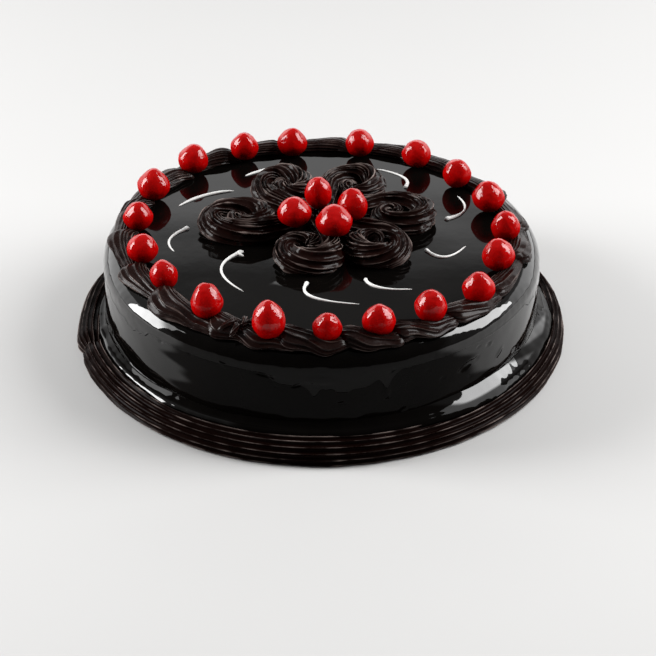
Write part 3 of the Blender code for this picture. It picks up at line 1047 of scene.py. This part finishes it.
@dataclass
class GlazeApron:
    """Glaze that ran down the wall and set as a slope onto the rope."""

    rope: BaseRope
    drum: GlazedDrum
    start: float = 0.0124       # height where it leaves the wall at the left
    start_more: float = 0.0040  # how much higher it leaves the wall at the right
    edge_out: float = 0.0036    # how far from the wall its edge lies at the left
    edge_more: float = 0.0034   # how much farther out it lies at the right
    edge_wave: float = 0.0014   # how far its edge wanders
    start_wave: float = 0.0008  # how far its upper line wanders
    sag: float = 0.0008         # how much the slope hollows
    rise: float = 0.0005        # how far it stands above the rope
    thick: tuple[float, float] = (0.0016, 0.0020)   # how far its underside lies in and down
    inset: float = 0.0004       # how far the underside's ends lie in
    lip_drop: float = 0.0016    # how far its rounded outer lip comes down
    lip_from: float = 0.62      # share of the slope where that lip starts
    lip_shine: tuple[float, float] = (0.50, 0.72)   # shares of the slope where it thickens
    lip_arc: tuple[float, float] = (188.0, 250.0)   # degrees where only the lip is thick
    around: int = 720
    rows: int = 32
    reach: float = 0.0078       # how far from its middle the rope can carry the edge
    pool_shine: float = 0.85    # a pool's coat as a share of the thickest one
    pool_slant: float = 3.0     # how far a pool leans, degrees for each mm of height
    pool_level: float = 0.014   # height at which a pool's arc is as given
    pool_arcs: tuple[tuple[float, float], ...] = ((-58.0, -25.0), (-19.0, -5.0), (40.0, 150.0))
    pool_out: tuple[float, float] = (0.52, 0.66)    # shares of the slope where they thin out
    pool_edge: float = 4.0      # width of the soft ends of the pools, degrees

    def wave(self, angle: np.ndarray) -> np.ndarray:
        """Return an uneven share for each angle, about 1 to either side of 0.

        Args:
            angle: direction of each point.

        Returns:
            The share.
        """
        return np.array([noise.noise(Vector((math.cos(a), math.sin(a), 0.0)) * 3.2)
                         + 0.5 * noise.noise(Vector((math.cos(a), math.sin(a), 2.0)) * 9.0)
                         + 0.18 * noise.noise(Vector((math.cos(a), math.sin(a), 4.0)) * 26.0)
                         for a in angle])

    def build(self) -> bpy.types.Object:
        """Wrap a closed skin from the wall out over the rope.

        Returns:
            The skin.
        """
        piece = sheet_blank("glaze_apron", self.around, self.rows)
        blank = read_points(piece)
        angle = blank[:, 0] * FULL_TURN
        turn = blank[:, 1] * self.rows
        wave = self.wave(angle)
        rightward = (0.5 + 0.5 * np.cos(angle + 0.5)) ** 1.5
        edge = self.edge_out + self.edge_more * rightward + self.edge_wave * wave
        half = self.rows // 2
        outer = turn <= half
        share = np.where(outer, turn / half, (self.rows - turn) / half)
        across = np.clip(edge - self.rope.centre_out, -self.reach, self.reach)
        foot = self.rope.centre_height + np.sqrt(self.rope.radius ** 2 - across ** 2)
        lip = np.clip((share - self.lip_from) / (1.0 - self.lip_from), 0.0, 1.0)
        foot = foot + self.rise - self.lip_drop * lip ** 2
        start = self.start + self.start_more * rightward + self.start_wave * wave
        level = start + (foot - start) * share - self.sag * np.sin(math.pi * share)
        out = edge * share
        round_under = np.sin(math.pi * share) ** 0.5
        out = np.where(outer, out, out - self.thick[0] * round_under - self.inset)
        level = np.where(outer, level, level - self.thick[1] * round_under)
        flush = self.drum.coat(angle, start) + 0.0001
        flush = flush + np.array([self.drum.wave(self.drum.radius * math.cos(a),
                                                 self.drum.radius * math.sin(a), high)
                                  for a, high in zip(angle, start)])
        radius = self.drum.radius + out + flush * (1.0 - share)
        write_points(piece, np.stack([radius * np.cos(angle), radius * np.sin(angle), level],
                                     axis=1))
        note(piece, "thick", self.shine(np.degrees(angle), level, share, share + 0.10 * wave))
        close_up(piece)
        return piece

    def within(self, arc: tuple[float, float], degrees: np.ndarray) -> np.ndarray:
        """Return 1 inside an arc and 0 outside it, with soft ends.

        Args:
            arc: where the arc starts and ends, anticlockwise.
            degrees: direction of each point.

        Returns:
            The share.
        """
        past = (degrees - arc[0]) % 360.0
        left = (arc[1] - arc[0]) % 360.0 - past
        return step_up(0.0, self.pool_edge, np.minimum(past, left))

    def shine(self, degrees: np.ndarray, level: np.ndarray, share: np.ndarray,
              ragged: np.ndarray) -> np.ndarray:
        """Return how strongly the glaze shines at each point.

        Args:
            degrees: direction of each point.
            level: height of each point.
            share: how far down the slope each point is.
            ragged: the same, made uneven from place to place.

        Returns:
            The share of the thickest coat's shine.
        """
        lip = step_up(*self.lip_shine, share) * self.within(self.lip_arc, degrees)
        slanted = degrees - self.pool_slant * (self.pool_level - level) / MM
        pools = np.max([self.within(arc, slanted) for arc in self.pool_arcs], axis=0)
        pools = pools * (1.0 - step_up(*self.pool_out, ragged))
        return Coat.HEAVY.value * np.maximum(lip, self.pool_shine * pools)


# ------------------------------------------------------------------ top border
@dataclass
class ShellBorder:
    """Nineteen overlapping shells, each piped from a fat head to a narrow tail."""

    drum: GlazedDrum
    cherries: list[Vector]      # the cherries' middles, anticlockwise
    head_start: float = 0.10    # share of the way to the next cherry
    tail_past: float = 0.52
    head_half: float = 0.0062   # half the head's width
    tail_half: float = 0.0046
    head_rise: float = 0.0044   # half the head's height
    tail_rise: float = 0.0024
    head_length: float = 0.0090     # from the nozzle's start to the fullest section
    start_ring: float = 0.0880  # the nozzle starts here, inside the head
    head_ring: float = 0.0925
    front_in: float = 0.0022    # how much farther in the heads at the front lie
    tail_out: float = 0.0054    # how far outside its cherry the tail passes
    crests: int = 16
    groove: float = 0.20
    plump: tuple[float, float] = (0.88, 1.08)       # least and most share of the head's size
    free_roll: float = 0.35     # how far a shell's ridges are turned either way
    tail_roll: float = 0.40     # how far they turn over towards the tail
    hook_roll: float = 0.34     # how far they turn over as the nozzle swings out
    right_slim: float = 0.14    # how much slimmer the heads at the right are
    right_smooth: float = 0.5   # how much shallower their grooves are
    front_highlight_fade: float = 0.50    # how much fainter the painted crest highlights are in front
    droop: float = 0.0008       # how far the border's edge sags in front
    ruffles: tuple[tuple[float, float], ...] = ((0.0110, 0.0014), (0.0050, 0.0003))

    curl_crests: int = 6
    curl_groove: float = 0.30
    curl_long: tuple[float, float] = (0.007, 0.011)
    curl_thick: tuple[float, float] = (0.0011, 0.0017)
    curl_lift: float = 0.0050   # height of the loose ends above the glaze
    curls: tuple[tuple[float, float], ...] = (      # loose ends: degrees and ring, mm
        (-117, 87), (-115, 91), (-112, 88), (-110, 91), (-113, 93),
    )

    def shell_line(self, index: int, draw: random.Random) -> RopeLine:
        """Return one shell's middle line on a flat strip.

        Args:
            index: number of the shell, the same as that of the cherry before it.
            draw: source of its small differences.

        Returns:
            The line. Its first column is the angle round the cake, as a length on
            the head's ring, its second the distance inwards and its third the
            height above the glaze.
        """
        here = self.cherries[index]
        after = self.cherries[(index + 1) % len(self.cherries)]
        first = math.atan2(here.y, here.x)
        span = (math.atan2(after.y, after.x) - first) % FULL_TURN
        share = np.linspace(0.0, 1.0, 53)
        tail_ring = min(after.xy.length + self.tail_out, self.head_ring + 0.0012)
        head_start = self.head_start + draw.uniform(-0.05, 0.05)
        angle = first + span * (head_start + (1.0 + self.tail_past - head_start)
                                * (0.20 * share + 0.80 * share ** 1.5))
        length = (angle - angle[0]) * self.head_ring
        dome = np.sqrt(1.0 - np.clip(1.0 - length / self.head_length, 0.0, 1.0) ** 2)
        fade = step_up(0.22, 0.95, share)
        middle = first + 0.5 * span
        forward = self.front_in * max(-math.sin(middle), 0.0)
        out = self.start_ring + (self.head_ring - self.start_ring) * step_up(0.0, 0.30, share)
        out = out + (tail_ring - self.head_ring) * fade - forward * (1.0 - fade)
        rightward = max(math.cos(middle - 0.25), 0.0)
        plump = draw.uniform(*self.plump) * (1.0 - self.right_slim * rightward)
        close = dome * (1.0 - 0.80 * step_up(0.84, 1.0, share)) + 0.03
        head = self.head_half * plump + 0.6 * forward
        width = (self.tail_half + (head - self.tail_half) * (1.0 - fade)) * close
        rise = (self.tail_rise + (self.head_rise * plump - self.tail_rise) * (1.0 - fade)) * close
        rise = rise * (0.86 - 0.14 * math.sin(middle))
        points = np.stack([angle * self.head_ring, -out, 0.55 * rise], axis=1)
        roll = draw.uniform(-self.free_roll, self.free_roll) + self.tail_roll * fade
        hook = self.hook_roll * (1.0 - 0.8 * max(-math.sin(middle), 0.0) ** 2)
        roll = roll - hook * (1.0 - step_up(0.0, 0.50, share))
        depth = 0.04 + 0.96 * step_up(0.06, 0.34, share)
        depth = depth * (1.0 - 0.9 * step_up(0.76, 0.96, share))
        depth = depth * (1.0 - self.right_smooth * rightward)
        return RopeLine(points, width, rise, roll, square=True, depth=depth, uneven=0.40,
                        spread=0.10)

    def curl_line(self, degrees: float, ring: float, draw: random.Random) -> RopeLine:
        """Return the middle line of a short loose end on the same flat strip.

        Args:
            degrees: angle round the cake where it starts.
            ring: distance from the cake's axis where it starts.
            draw: source of its length, heading and curl.

        Returns:
            The line, as shell_line gives it.
        """
        share = np.linspace(0.0, 1.0, 27)
        long = draw.uniform(*self.curl_long)
        heading = draw.uniform(-0.9, 0.9)
        heading = heading + draw.choice((-1.0, 1.0)) * draw.uniform(1.2, 3.0) * share
        step = long / (len(share) - 1)
        ahead = math.radians(degrees) * self.head_ring + np.cumsum(np.cos(heading)) * step
        inwards = -ring + np.cumsum(np.sin(heading)) * step
        taper = np.sqrt(np.clip(4.0 * share * (1.0 - share), 0.02, 1.0))
        thick = draw.uniform(*self.curl_thick) * taper
        high = self.curl_lift + 0.0008 * np.sin(math.pi * share)
        points = np.stack([ahead, inwards, high], axis=1)
        return RopeLine(points, thick, thick, 2.5 * share, level_up=True, uneven=0.4)

    def in_front(self, angle: np.ndarray) -> np.ndarray:
        """Return 1 at the front of the cake, fading to 0 at its sides."""
        return np.maximum(-np.sin(angle), 0.0) ** 2

    def settle(self, points: np.ndarray) -> np.ndarray:
        """Bend strip points round the cake and let them droop over its shoulder.

        Args:
            points: points on the flat strip that shell_line describes.

        Returns:
            The points on the cake.
        """
        angle = points[:, 0] / self.head_ring
        out = -points[:, 1]
        sway = np.sin(23.0 * angle) + 0.8 * np.sin(37.0 * angle + 2.0)
        out = out + self.droop * sway * self.in_front(angle) * step_up(0.088, 0.098, out)
        lift = np.maximum(points[:, 2], -0.0004)
        start = self.drum.radius - self.drum.shoulder
        bend = np.clip((out - start) / self.drum.shoulder, 0.0, 1.35)
        size = self.drum.shoulder + lift
        radius = np.where(out <= start, out, start + size * np.sin(bend))
        level = np.where(out <= start, self.drum.height + lift,
                         self.drum.height - self.drum.shoulder + size * np.cos(bend))
        return np.stack([radius * np.cos(angle), radius * np.sin(angle), level], axis=1)

    def build(self) -> bpy.types.Object:
        """Pipe every shell from one blank and join them into the border.

        Returns:
            The border.
        """
        blank = tube_blank("shell_blank", self.crests * 7, (4, 11))
        shells = []
        for index in range(len(self.cherries)):
            shell = copy_piece(blank, f"shell_{index}")
            line = self.shell_line(index, random.Random(400 + index))
            line.lay(shell, self.crests, self.groove)
            strip = read_points(shell)
            # the painted crest highlights are made fainter at the front
            fainter = 1.0 - self.front_highlight_fade * self.in_front(strip[:, 0] / self.head_ring)
            fade_note(shell, "painted_crest_highlight", fainter)
            write_points(shell, self.settle(strip))
            shells.append(shell)
        discard(blank)
        blank = tube_blank("curl_blank", self.curl_crests * 4, (2, 8))
        for index, (degrees, ring) in enumerate(self.curls):
            curl = copy_piece(blank, f"curl_{index}")
            line = self.curl_line(degrees, ring * MM, random.Random(900 + index))
            line.lay(curl, self.curl_crests, self.curl_groove)
            write_points(curl, self.settle(read_points(curl)))
            shells.append(curl)
        discard(blank)
        border = join_pieces("shell_border", shells)
        ruffle(border, self.ruffles)
        return border


# ------------------------------------------------------------------ rosettes
@dataclass(frozen=True)
class PetalPlan:
    """How one petal of the flower was piped."""

    angle: float                # degrees, from the flower's middle
    length: float = 0.0138      # half-axes of the loop's middle line
    width: float = 0.0108
    start: float = 118.0        # degrees, where on the loop the rope comes in
    turn: float = 600.0         # degrees that the rope curls clockwise
    twist: float = 0.40         # how much its ridges roll as it turns
    plump: float = 1.0


@dataclass
class Rosette:
    """One petal of the flower: a rope that runs out and curls clockwise into itself."""

    node: str
    plan: PetalPlan
    left: float                 # angle to the edge shared with the next petal
    right: float                # angle to the edge shared with the one before
    middle: Vector              # the flower's middle, on the glaze
    half_width: float = 0.0064
    half_height: float = 0.0067
    sunk: float = 0.64          # height of the middle line as a share of half the height
    crests: int = 13
    groove: float = 0.32
    curl_lift: float = 0.0026   # how far the inner curl climbs on the outer one
    tail: tuple[float, float] = (0.0040, 0.0012)    # where the rope starts
    ruffles: tuple[tuple[float, float], ...] = ((0.0100, 0.0018), (0.0050, 0.0004))

    def reach(self) -> float:
        """Return how far the petal's solid reaches from the flower's middle.

        Returns:
            The distance along the petal's own direction.
        """
        angle = math.radians(self.plan.angle)
        axis = Vector((math.cos(angle), math.sin(angle), 0.0))
        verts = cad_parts[self.node].data.vertices
        return max((vert.co - self.middle).dot(axis) for vert in verts)

    def line(self) -> RopeLine:
        """Return the rope's middle line in the petal's own frame, X outwards.

        Returns:
            The line.
        """
        plan = self.plan
        distance = self.reach() - plan.length - self.half_width * plan.plump
        share = np.linspace(0.0, 1.0, 121)
        around = np.radians(plan.start - plan.turn * share)
        shrink = 1.0 - 0.62 * step_up(0.20, 0.66, share) - 0.30 * step_up(0.58, 1.0, share)
        loop = np.stack([distance + plan.length * shrink * np.cos(around),
                         plan.width * shrink * np.sin(around)], axis=1)
        tail = np.array(self.tail)
        t = np.linspace(0.0, 1.0, 28)[:-1, None]
        lean = (loop[0] - loop[1]) / np.linalg.norm(loop[0] - loop[1])
        guide = loop[0] + lean * 0.45 * np.linalg.norm(loop[0] - tail)
        run = tail * (1.0 - t) ** 2 + guide * 2.0 * t * (1.0 - t) + loop[0] * t ** 2
        flat = np.concatenate([run, loop])
        inner = 1.0 - 0.26 * step_up(0.25, 0.65, share) - 0.34 * step_up(0.60, 1.0, share)
        grow = np.concatenate([0.84 + 0.16 * t[:, 0], inner]) * plan.plump
        grow[-3:] *= (0.85, 0.6, 0.25)
        climb = np.concatenate([np.zeros(len(t)), step_up(0.30, 0.80, share)])
        heading = np.unwrap(np.arctan2(*np.gradient(flat, axis=0).T[::-1]))
        roll = plan.twist * (heading[0] - heading)
        rise = self.half_height * grow
        level = rise * self.sunk + self.curl_lift * climb
        points = np.column_stack([flat, level])
        return RopeLine(points, self.half_width * grow, rise, roll, level_up=True, uneven=0.40,
                        spread=0.15)

    def settle(self, points: np.ndarray) -> np.ndarray:
        """Press points into the petal's sector and put them on the cake.

        Args:
            points: points in the petal's own frame.

        Returns:
            The points on the cake.
        """
        placed = points.copy()
        for sign, edge in ((1.0, self.left), (-1.0, self.right)):
            limit = np.maximum(placed[:, 0] * math.tan(edge), 0.0003)
            side = sign * placed[:, 1]
            soft = 0.88 * limit
            pressed = soft + 0.16 * limit * np.tanh((side - soft) / (0.16 * limit))
            placed[:, 1] = np.where(side > soft, sign * pressed, placed[:, 1])
        placed[:, 2] = np.maximum(placed[:, 2], -0.0002)
        turn = np.array(Matrix.Rotation(math.radians(self.plan.angle), 3, "Z"))
        return placed @ turn.T + np.array(self.middle)

    def build(self, blank: bpy.types.Object) -> bpy.types.Object:
        """Pipe the petal with a copy of the blank rope.

        Args:
            blank: the rope, one unit tall on the origin.

        Returns:
            The petal.
        """
        piece = copy_piece(blank, f"petal_{self.node[-1]}")
        self.line().lay(piece, self.crests, self.groove)
        write_points(piece, self.settle(read_points(piece)))
        ruffle(piece, self.ruffles)
        return piece


# ------------------------------------------------------------------ cherries
@dataclass
class CherryShape:
    """One candied cherry, broad below and rounded to a narrower top."""

    node: str
    seed: int
    taper: tuple[float, float] = (0.15, 0.27)   # how much the top narrows
    foot_taper: float = 0.30    # how much its lower half widens, as a share of that
    most_lean: float = 14.0     # degrees
    lumps: tuple[tuple[float, float], ...] = ((1.4, 0.060), (3.4, 0.018), (9.0, 0.008))
    round_out: float = 1.04     # a faceted box is this much narrower than the round fruit

    def build(self, blank: bpy.types.Object) -> bpy.types.Object:
        """Copy the plain cherry, give it its own lean and dimples and set it in place.

        Args:
            blank: the plain round cherry.

        Returns:
            The cherry.
        """
        low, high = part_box(self.node)
        middle = (low + high) / 2.0
        draw = random.Random(self.seed)
        piece = copy_piece(blank, f"cherry_{self.node}")
        wide = self.round_out * (high.x - low.x + high.y - low.y) / 4.0
        tall = (high.z - low.z) / 2.0
        taper = draw.uniform(*self.taper)
        lean = math.radians(draw.uniform(0.0, self.most_lean))
        way = draw.uniform(0.0, FULL_TURN)
        turn = (Matrix.Rotation(lean, 3, Vector((math.cos(way), math.sin(way), 0.0)))
                @ Matrix.Rotation(draw.uniform(0.0, FULL_TURN), 3, "Z"))
        shift = Vector((draw.uniform(0, 40), draw.uniform(0, 40), draw.uniform(0, 40)))
        for vert in piece.data.vertices:
            spot = vert.co.copy()
            narrow = 1.0 - taper * spot.z * (1.0 if spot.z > 0.0 else self.foot_taper)
            lump = 1.0 + sum(depth * noise.noise(spot * size + shift)
                             for size, depth in self.lumps)
            shaped = Vector((spot.x * narrow * wide, spot.y * narrow * wide, spot.z * tall))
            vert.co = middle + turn @ (shaped * lump)
        return piece


def plain_cherry() -> bpy.types.Object:
    """Make the plain round cherry that all the others are copied from.

    Returns:
        The blank, a ball of radius 1.
    """
    deselect_all()
    bpy.ops.mesh.primitive_uv_sphere_add(segments=48, ring_count=32, radius=1.0)
    return named("plain_cherry")


# ------------------------------------------------------------------ drizzle
@dataclass
class Drizzle:
    """White strokes on the glaze, each a blob that thins to a fine end."""

    top: float                  # height of the glaze
    radius: float = 0.00065
    strokes: tuple[tuple[tuple[float, float], ...], ...] = (   # start, corner, end in mm
        ((-68, 32), (-57, 45), (-42, 47)),
        ((-62, 11), (-76, 1), (-68, -11)),
        ((-36, -11), (-56, -26), (-35, -47)),
        ((-6, -39), (-14, -55), (17, -58)),
        ((20, -36), (22, -47), (41, -45)),
        ((48, -9), (56, -25), (67, -6)),
        ((65, 42), (74, 25), (58, 19)),
        ((27, 69), (46, 61), (40, 50)),
        ((-37, 62), (-30, 68), (-19, 70)),
        ((-37.5, -10.5), (-39.5, -13.5), (-35.6, -15.2)),
    )
    blob_at_end: tuple[int, ...] = (6, 7)       # strokes that were drawn towards the blob
    no_blob: tuple[int, ...] = (0, 8, 9)
    blob: float = 0.30          # how much thicker a blob is
    afloat: float = 0.35        # height of a stroke's middle as a share of its thickness

    def build(self) -> bpy.types.Object:
        """Lay every stroke and join them.

        Returns:
            The drizzle.
        """
        threads = []
        blank = tube_blank("stroke_blank", 14, (8, 8))
        for index, (start, corner, end) in enumerate(self.strokes):
            t = np.linspace(0.0, 1.0, 41)[:, None]
            ends = [np.array(place) * MM for place in (start, corner, end)]
            flat = ends[0] * (1.0 - t) ** 2 + ends[1] * 2.0 * t * (1.0 - t) + ends[2] * t ** 2
            share = t[:, 0]
            from_blob = 1.0 - share if index in self.blob_at_end else share
            if index in self.no_blob:
                body, blob = 0.45 + 0.75 * np.sin(math.pi * share) ** 0.8, 0.0
            else:
                body, blob = 1.25 - 0.80 * from_blob ** 1.3, self.blob
            size = self.radius * body * (1.0 + 0.10 * np.sin(9.0 * share + index))
            size = size * np.sqrt(np.clip(from_blob / 0.03, 0.15, 1.0))
            size = size * np.sqrt(np.clip((1.0 - from_blob) / 0.06, 0.10, 1.0))
            size = size * (1.0 + blob * np.exp(-((from_blob - 0.035) / 0.035) ** 2))
            level = self.top + self.afloat * size
            line = RopeLine(np.column_stack([flat, level]), size, size, np.zeros(len(t)), True)
            threads.append(copy_piece(blank, f"stroke_{index}"))
            line.lay(threads[-1], 1, 0.0)
        discard(blank)
        return join_pieces("white_drizzle", threads)


# ------------------------------------------------------------------ studio
@dataclass(frozen=True)
class SoftBox:
    """A rectangular light that faces the cake."""

    name: str
    place: tuple[float, float, float]
    size: tuple[float, float]   # width and height
    radiance: float
    aim: tuple[float, float, float] = (0.0, 0.0, 0.03)

    def build(self) -> None:
        """Hang the light, hidden from the camera."""
        data = bpy.data.lights.new(self.name, "AREA")
        data.shape = "RECTANGLE"
        data.size, data.size_y = self.size
        data.energy = self.radiance * math.pi * self.size[0] * self.size[1]
        light = bpy.data.objects.new(self.name, data)
        light.location = self.place
        aim = Vector(self.aim) - Vector(self.place)
        light.rotation_euler = aim.to_track_quat("-Z", "Y").to_euler()
        light.visible_camera = False
        bpy.context.scene.collection.objects.link(light)


@dataclass
class Studio:
    """Camera, soft boxes, pale floor and the glow of the room."""

    aim: tuple[float, float, float] = (0.0031, 0.0, 0.0007)
    distance: float = 1.30
    elevation: float = math.radians(31.68)
    lens: float = 150.2
    floor_size: float = 30.0
    floor_colour: tuple[float, float, float] = (0.562, 0.558, 0.553)
    ambient: tuple[float, float] = (0.05, 0.25)     # in front and behind
    glow: float = 1.75          # of the low back wall
    glow_top: tuple[float, float] = (0.481, 0.510)  # heights between which the glow ends
    boxes: tuple[SoftBox, ...] = (
        SoftBox("left_box", (-1.02, 0.10, 0.48), (0.44, 0.74), 17.5),
        SoftBox("right_box", (0.95, 0.10, 0.72), (0.54, 1.00), 12.0),
    )

    def camera(self) -> None:
        """Set the camera at the angle of a guest's view of the cake."""
        data = bpy.data.cameras.new("view")
        data.lens = self.lens
        data.sensor_width = 36.0
        data.clip_end = 30.0
        camera = bpy.data.objects.new("view", data)
        back = Vector((0.0, -math.cos(self.elevation), math.sin(self.elevation)))
        camera.location = Vector(self.aim) + back * self.distance
        camera.rotation_euler = (math.pi / 2.0 - self.elevation, 0.0, 0.0)
        bpy.context.scene.collection.objects.link(camera)
        bpy.context.scene.camera = camera

    def room(self) -> None:
        """Give the world a bright low back, a pale top and a dark front."""
        world = bpy.data.worlds.new("room")
        bpy.context.scene.world = world
        world.use_nodes = True
        tree = world.node_tree
        along, high = (add_axis(tree, "Generated", axis) for axis in "YZ")
        ambient = add_range(tree, along, (-0.7, 0.2), self.ambient)
        low = add_range(tree, high, self.glow_top, (1.0, 0.0))
        behind = add_range(tree, along, (0.1, 0.6), (0.0, 1.0))
        total = tree.nodes.new("ShaderNodeMath")
        total.operation = "MULTIPLY_ADD"
        total.inputs[1].default_value = self.glow
        tree.links.new(add_product(tree, low, behind), total.inputs[0])
        tree.links.new(ambient, total.inputs[2])
        tree.links.new(total.outputs["Value"], tree.nodes["Background"].inputs["Strength"])
        tree.nodes["Background"].inputs["Color"].default_value = (1.0, 1.0, 1.0, 1.0)

    def floor(self) -> None:
        """Lay the pale floor."""
        deselect_all()
        bpy.ops.mesh.primitive_plane_add(size=self.floor_size, location=(0.0, 0.0, -0.0002))
        bpy.ops.object.transform_apply(location=True, rotation=True, scale=True)
        floor = named("floor")
        material, tree, shader = new_material("pale_floor")
        shade = tuple(0.97 * part for part in self.floor_colour)
        colour = add_mix(tree, add_noise(tree, 6.0), shade, self.floor_colour)
        tree.links.new(colour, shader.inputs["Base Color"])
        set_values(shader, {"Roughness": 0.8, "Specular IOR Level": 0.1})
        floor.data.materials.append(material)

    def build(self) -> None:
        """Set up the whole studio."""
        bpy.context.scene.view_settings.view_transform = "Standard"
        self.camera()
        self.floor()
        self.room()
        for box in self.boxes:
            box.build()


# ------------------------------------------------------------------ the cake
@dataclass
class Cake:
    """The whole cake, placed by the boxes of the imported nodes."""

    rim_count: int = 19
    middle_count: int = 4
    petals: tuple[PetalPlan, ...] = (
        PetalPlan(6, 0.0142, 0.0108, twist=0.25, turn=520.0),
        PetalPlan(61, 0.0136, 0.0112, twist=0.45, turn=500.0),
        PetalPlan(118, 0.0130, 0.0110, twist=0.85, turn=580.0),
        PetalPlan(183, 0.0150, 0.0114, twist=0.55, turn=640.0, plump=1.04),
        PetalPlan(-101, 0.0124, 0.0128, twist=0.60, turn=480.0, plump=1.06),
        PetalPlan(-44, 0.0132, 0.0110, twist=-0.70, turn=540.0),
    )
    flower_middle: tuple[float, float] = (-0.001, 0.012)
    # each crest colour here is a painted highlight along the ridges
    base_cream: PipedGanache = PipedGanache(
        "base_ganache", dark=(0.0030, 0.0011, 0.0008), light=(0.0066, 0.0025, 0.0019),
        painted_crest_highlight=(0.250, 0.200, 0.182), ior=1.06, coat=0.02)
    flower_cream: PipedGanache = PipedGanache(
        "rosette_ganache", painted_crest_highlight=(0.270, 0.210, 0.190), ior=1.11)
    drum: GlazedDrum = field(init=False)

    def __post_init__(self) -> None:
        """Read the drum's size from the frame."""
        low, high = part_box("cake_body")
        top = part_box("rosette_1")[0].z - CAD_GAP
        self.drum = GlazedDrum(radius=(high.x - low.x) / 2.0, height=top)

    def rim_nodes(self) -> list[str]:
        """Return the names of the border's cherries."""
        return [f"rim_cherry_{i + 1:02d}" for i in range(self.rim_count)]

    def build_drum(self) -> None:
        """Make the glazed drum and its drizzle."""
        glaze = MirrorGlaze().material()
        drum = self.drum.build()
        finish_piece(drum, glaze)
        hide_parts("cake_body")
        finish_piece(Drizzle(self.drum.height).build(), WhiteDrizzle().material())
        rope = BaseRope(self.drum.radius)
        base = rope.build()
        finish_piece(base, self.base_cream.material())
        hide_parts("base_border")
        finish_piece(GlazeApron(rope, self.drum).build(), glaze)

    def build_border(self) -> None:
        """Pipe the shell border under the cherries."""
        middles = [sum(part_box(node), Vector()) / 2.0 for node in self.rim_nodes()]
        border = ShellBorder(self.drum, middles).build()
        finish_piece(border, PipedGanache().material())
        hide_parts("top_border")

    def build_flower(self) -> None:
        """Pipe the six rosettes."""
        ganache = self.flower_cream.material()
        blank = tube_blank("petal_blank", Rosette.crests * 12, (16, 17))
        count = len(self.petals)
        middle = Vector((*self.flower_middle, self.drum.height))
        for i, plan in enumerate(self.petals):
            after = math.radians(self.petals[(i + 1) % count].angle - plan.angle) % FULL_TURN
            before = math.radians(plan.angle - self.petals[i - 1].angle) % FULL_TURN
            petal = Rosette(f"rosette_{i + 1}", plan, after / 2.0, before / 2.0, middle)
            piece = petal.build(blank)
            finish_piece(piece, ganache)
            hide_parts(petal.node)
        discard(blank)

    def build_cherries(self) -> None:
        """Set every cherry in its place."""
        blank = plain_cherry()
        groups = (self.rim_nodes(), [f"centre_cherry_{i + 1}" for i in range(self.middle_count)])
        for start, nodes in zip((0, self.rim_count), groups):
            low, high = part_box(nodes[0])
            red = GlazedCherry(low.z, high.z - low.z).material()
            for offset, node in enumerate(nodes):
                piece = CherryShape(node, 70 + start + offset).build(blank)
                finish_piece(piece, red)
                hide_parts(node)
        discard(blank)

    def build(self) -> None:
        """Build every piece of the cake in order."""
        self.build_drum()
        self.build_border()
        self.build_flower()
        self.build_cherries()


def main() -> None:
    """Build the studio and the cake."""
    logging.basicConfig(level=logging.INFO, format="%(name)s %(message)s")
    Studio().build()
    Cake().build()


if __name__ == "__main__":
    main()
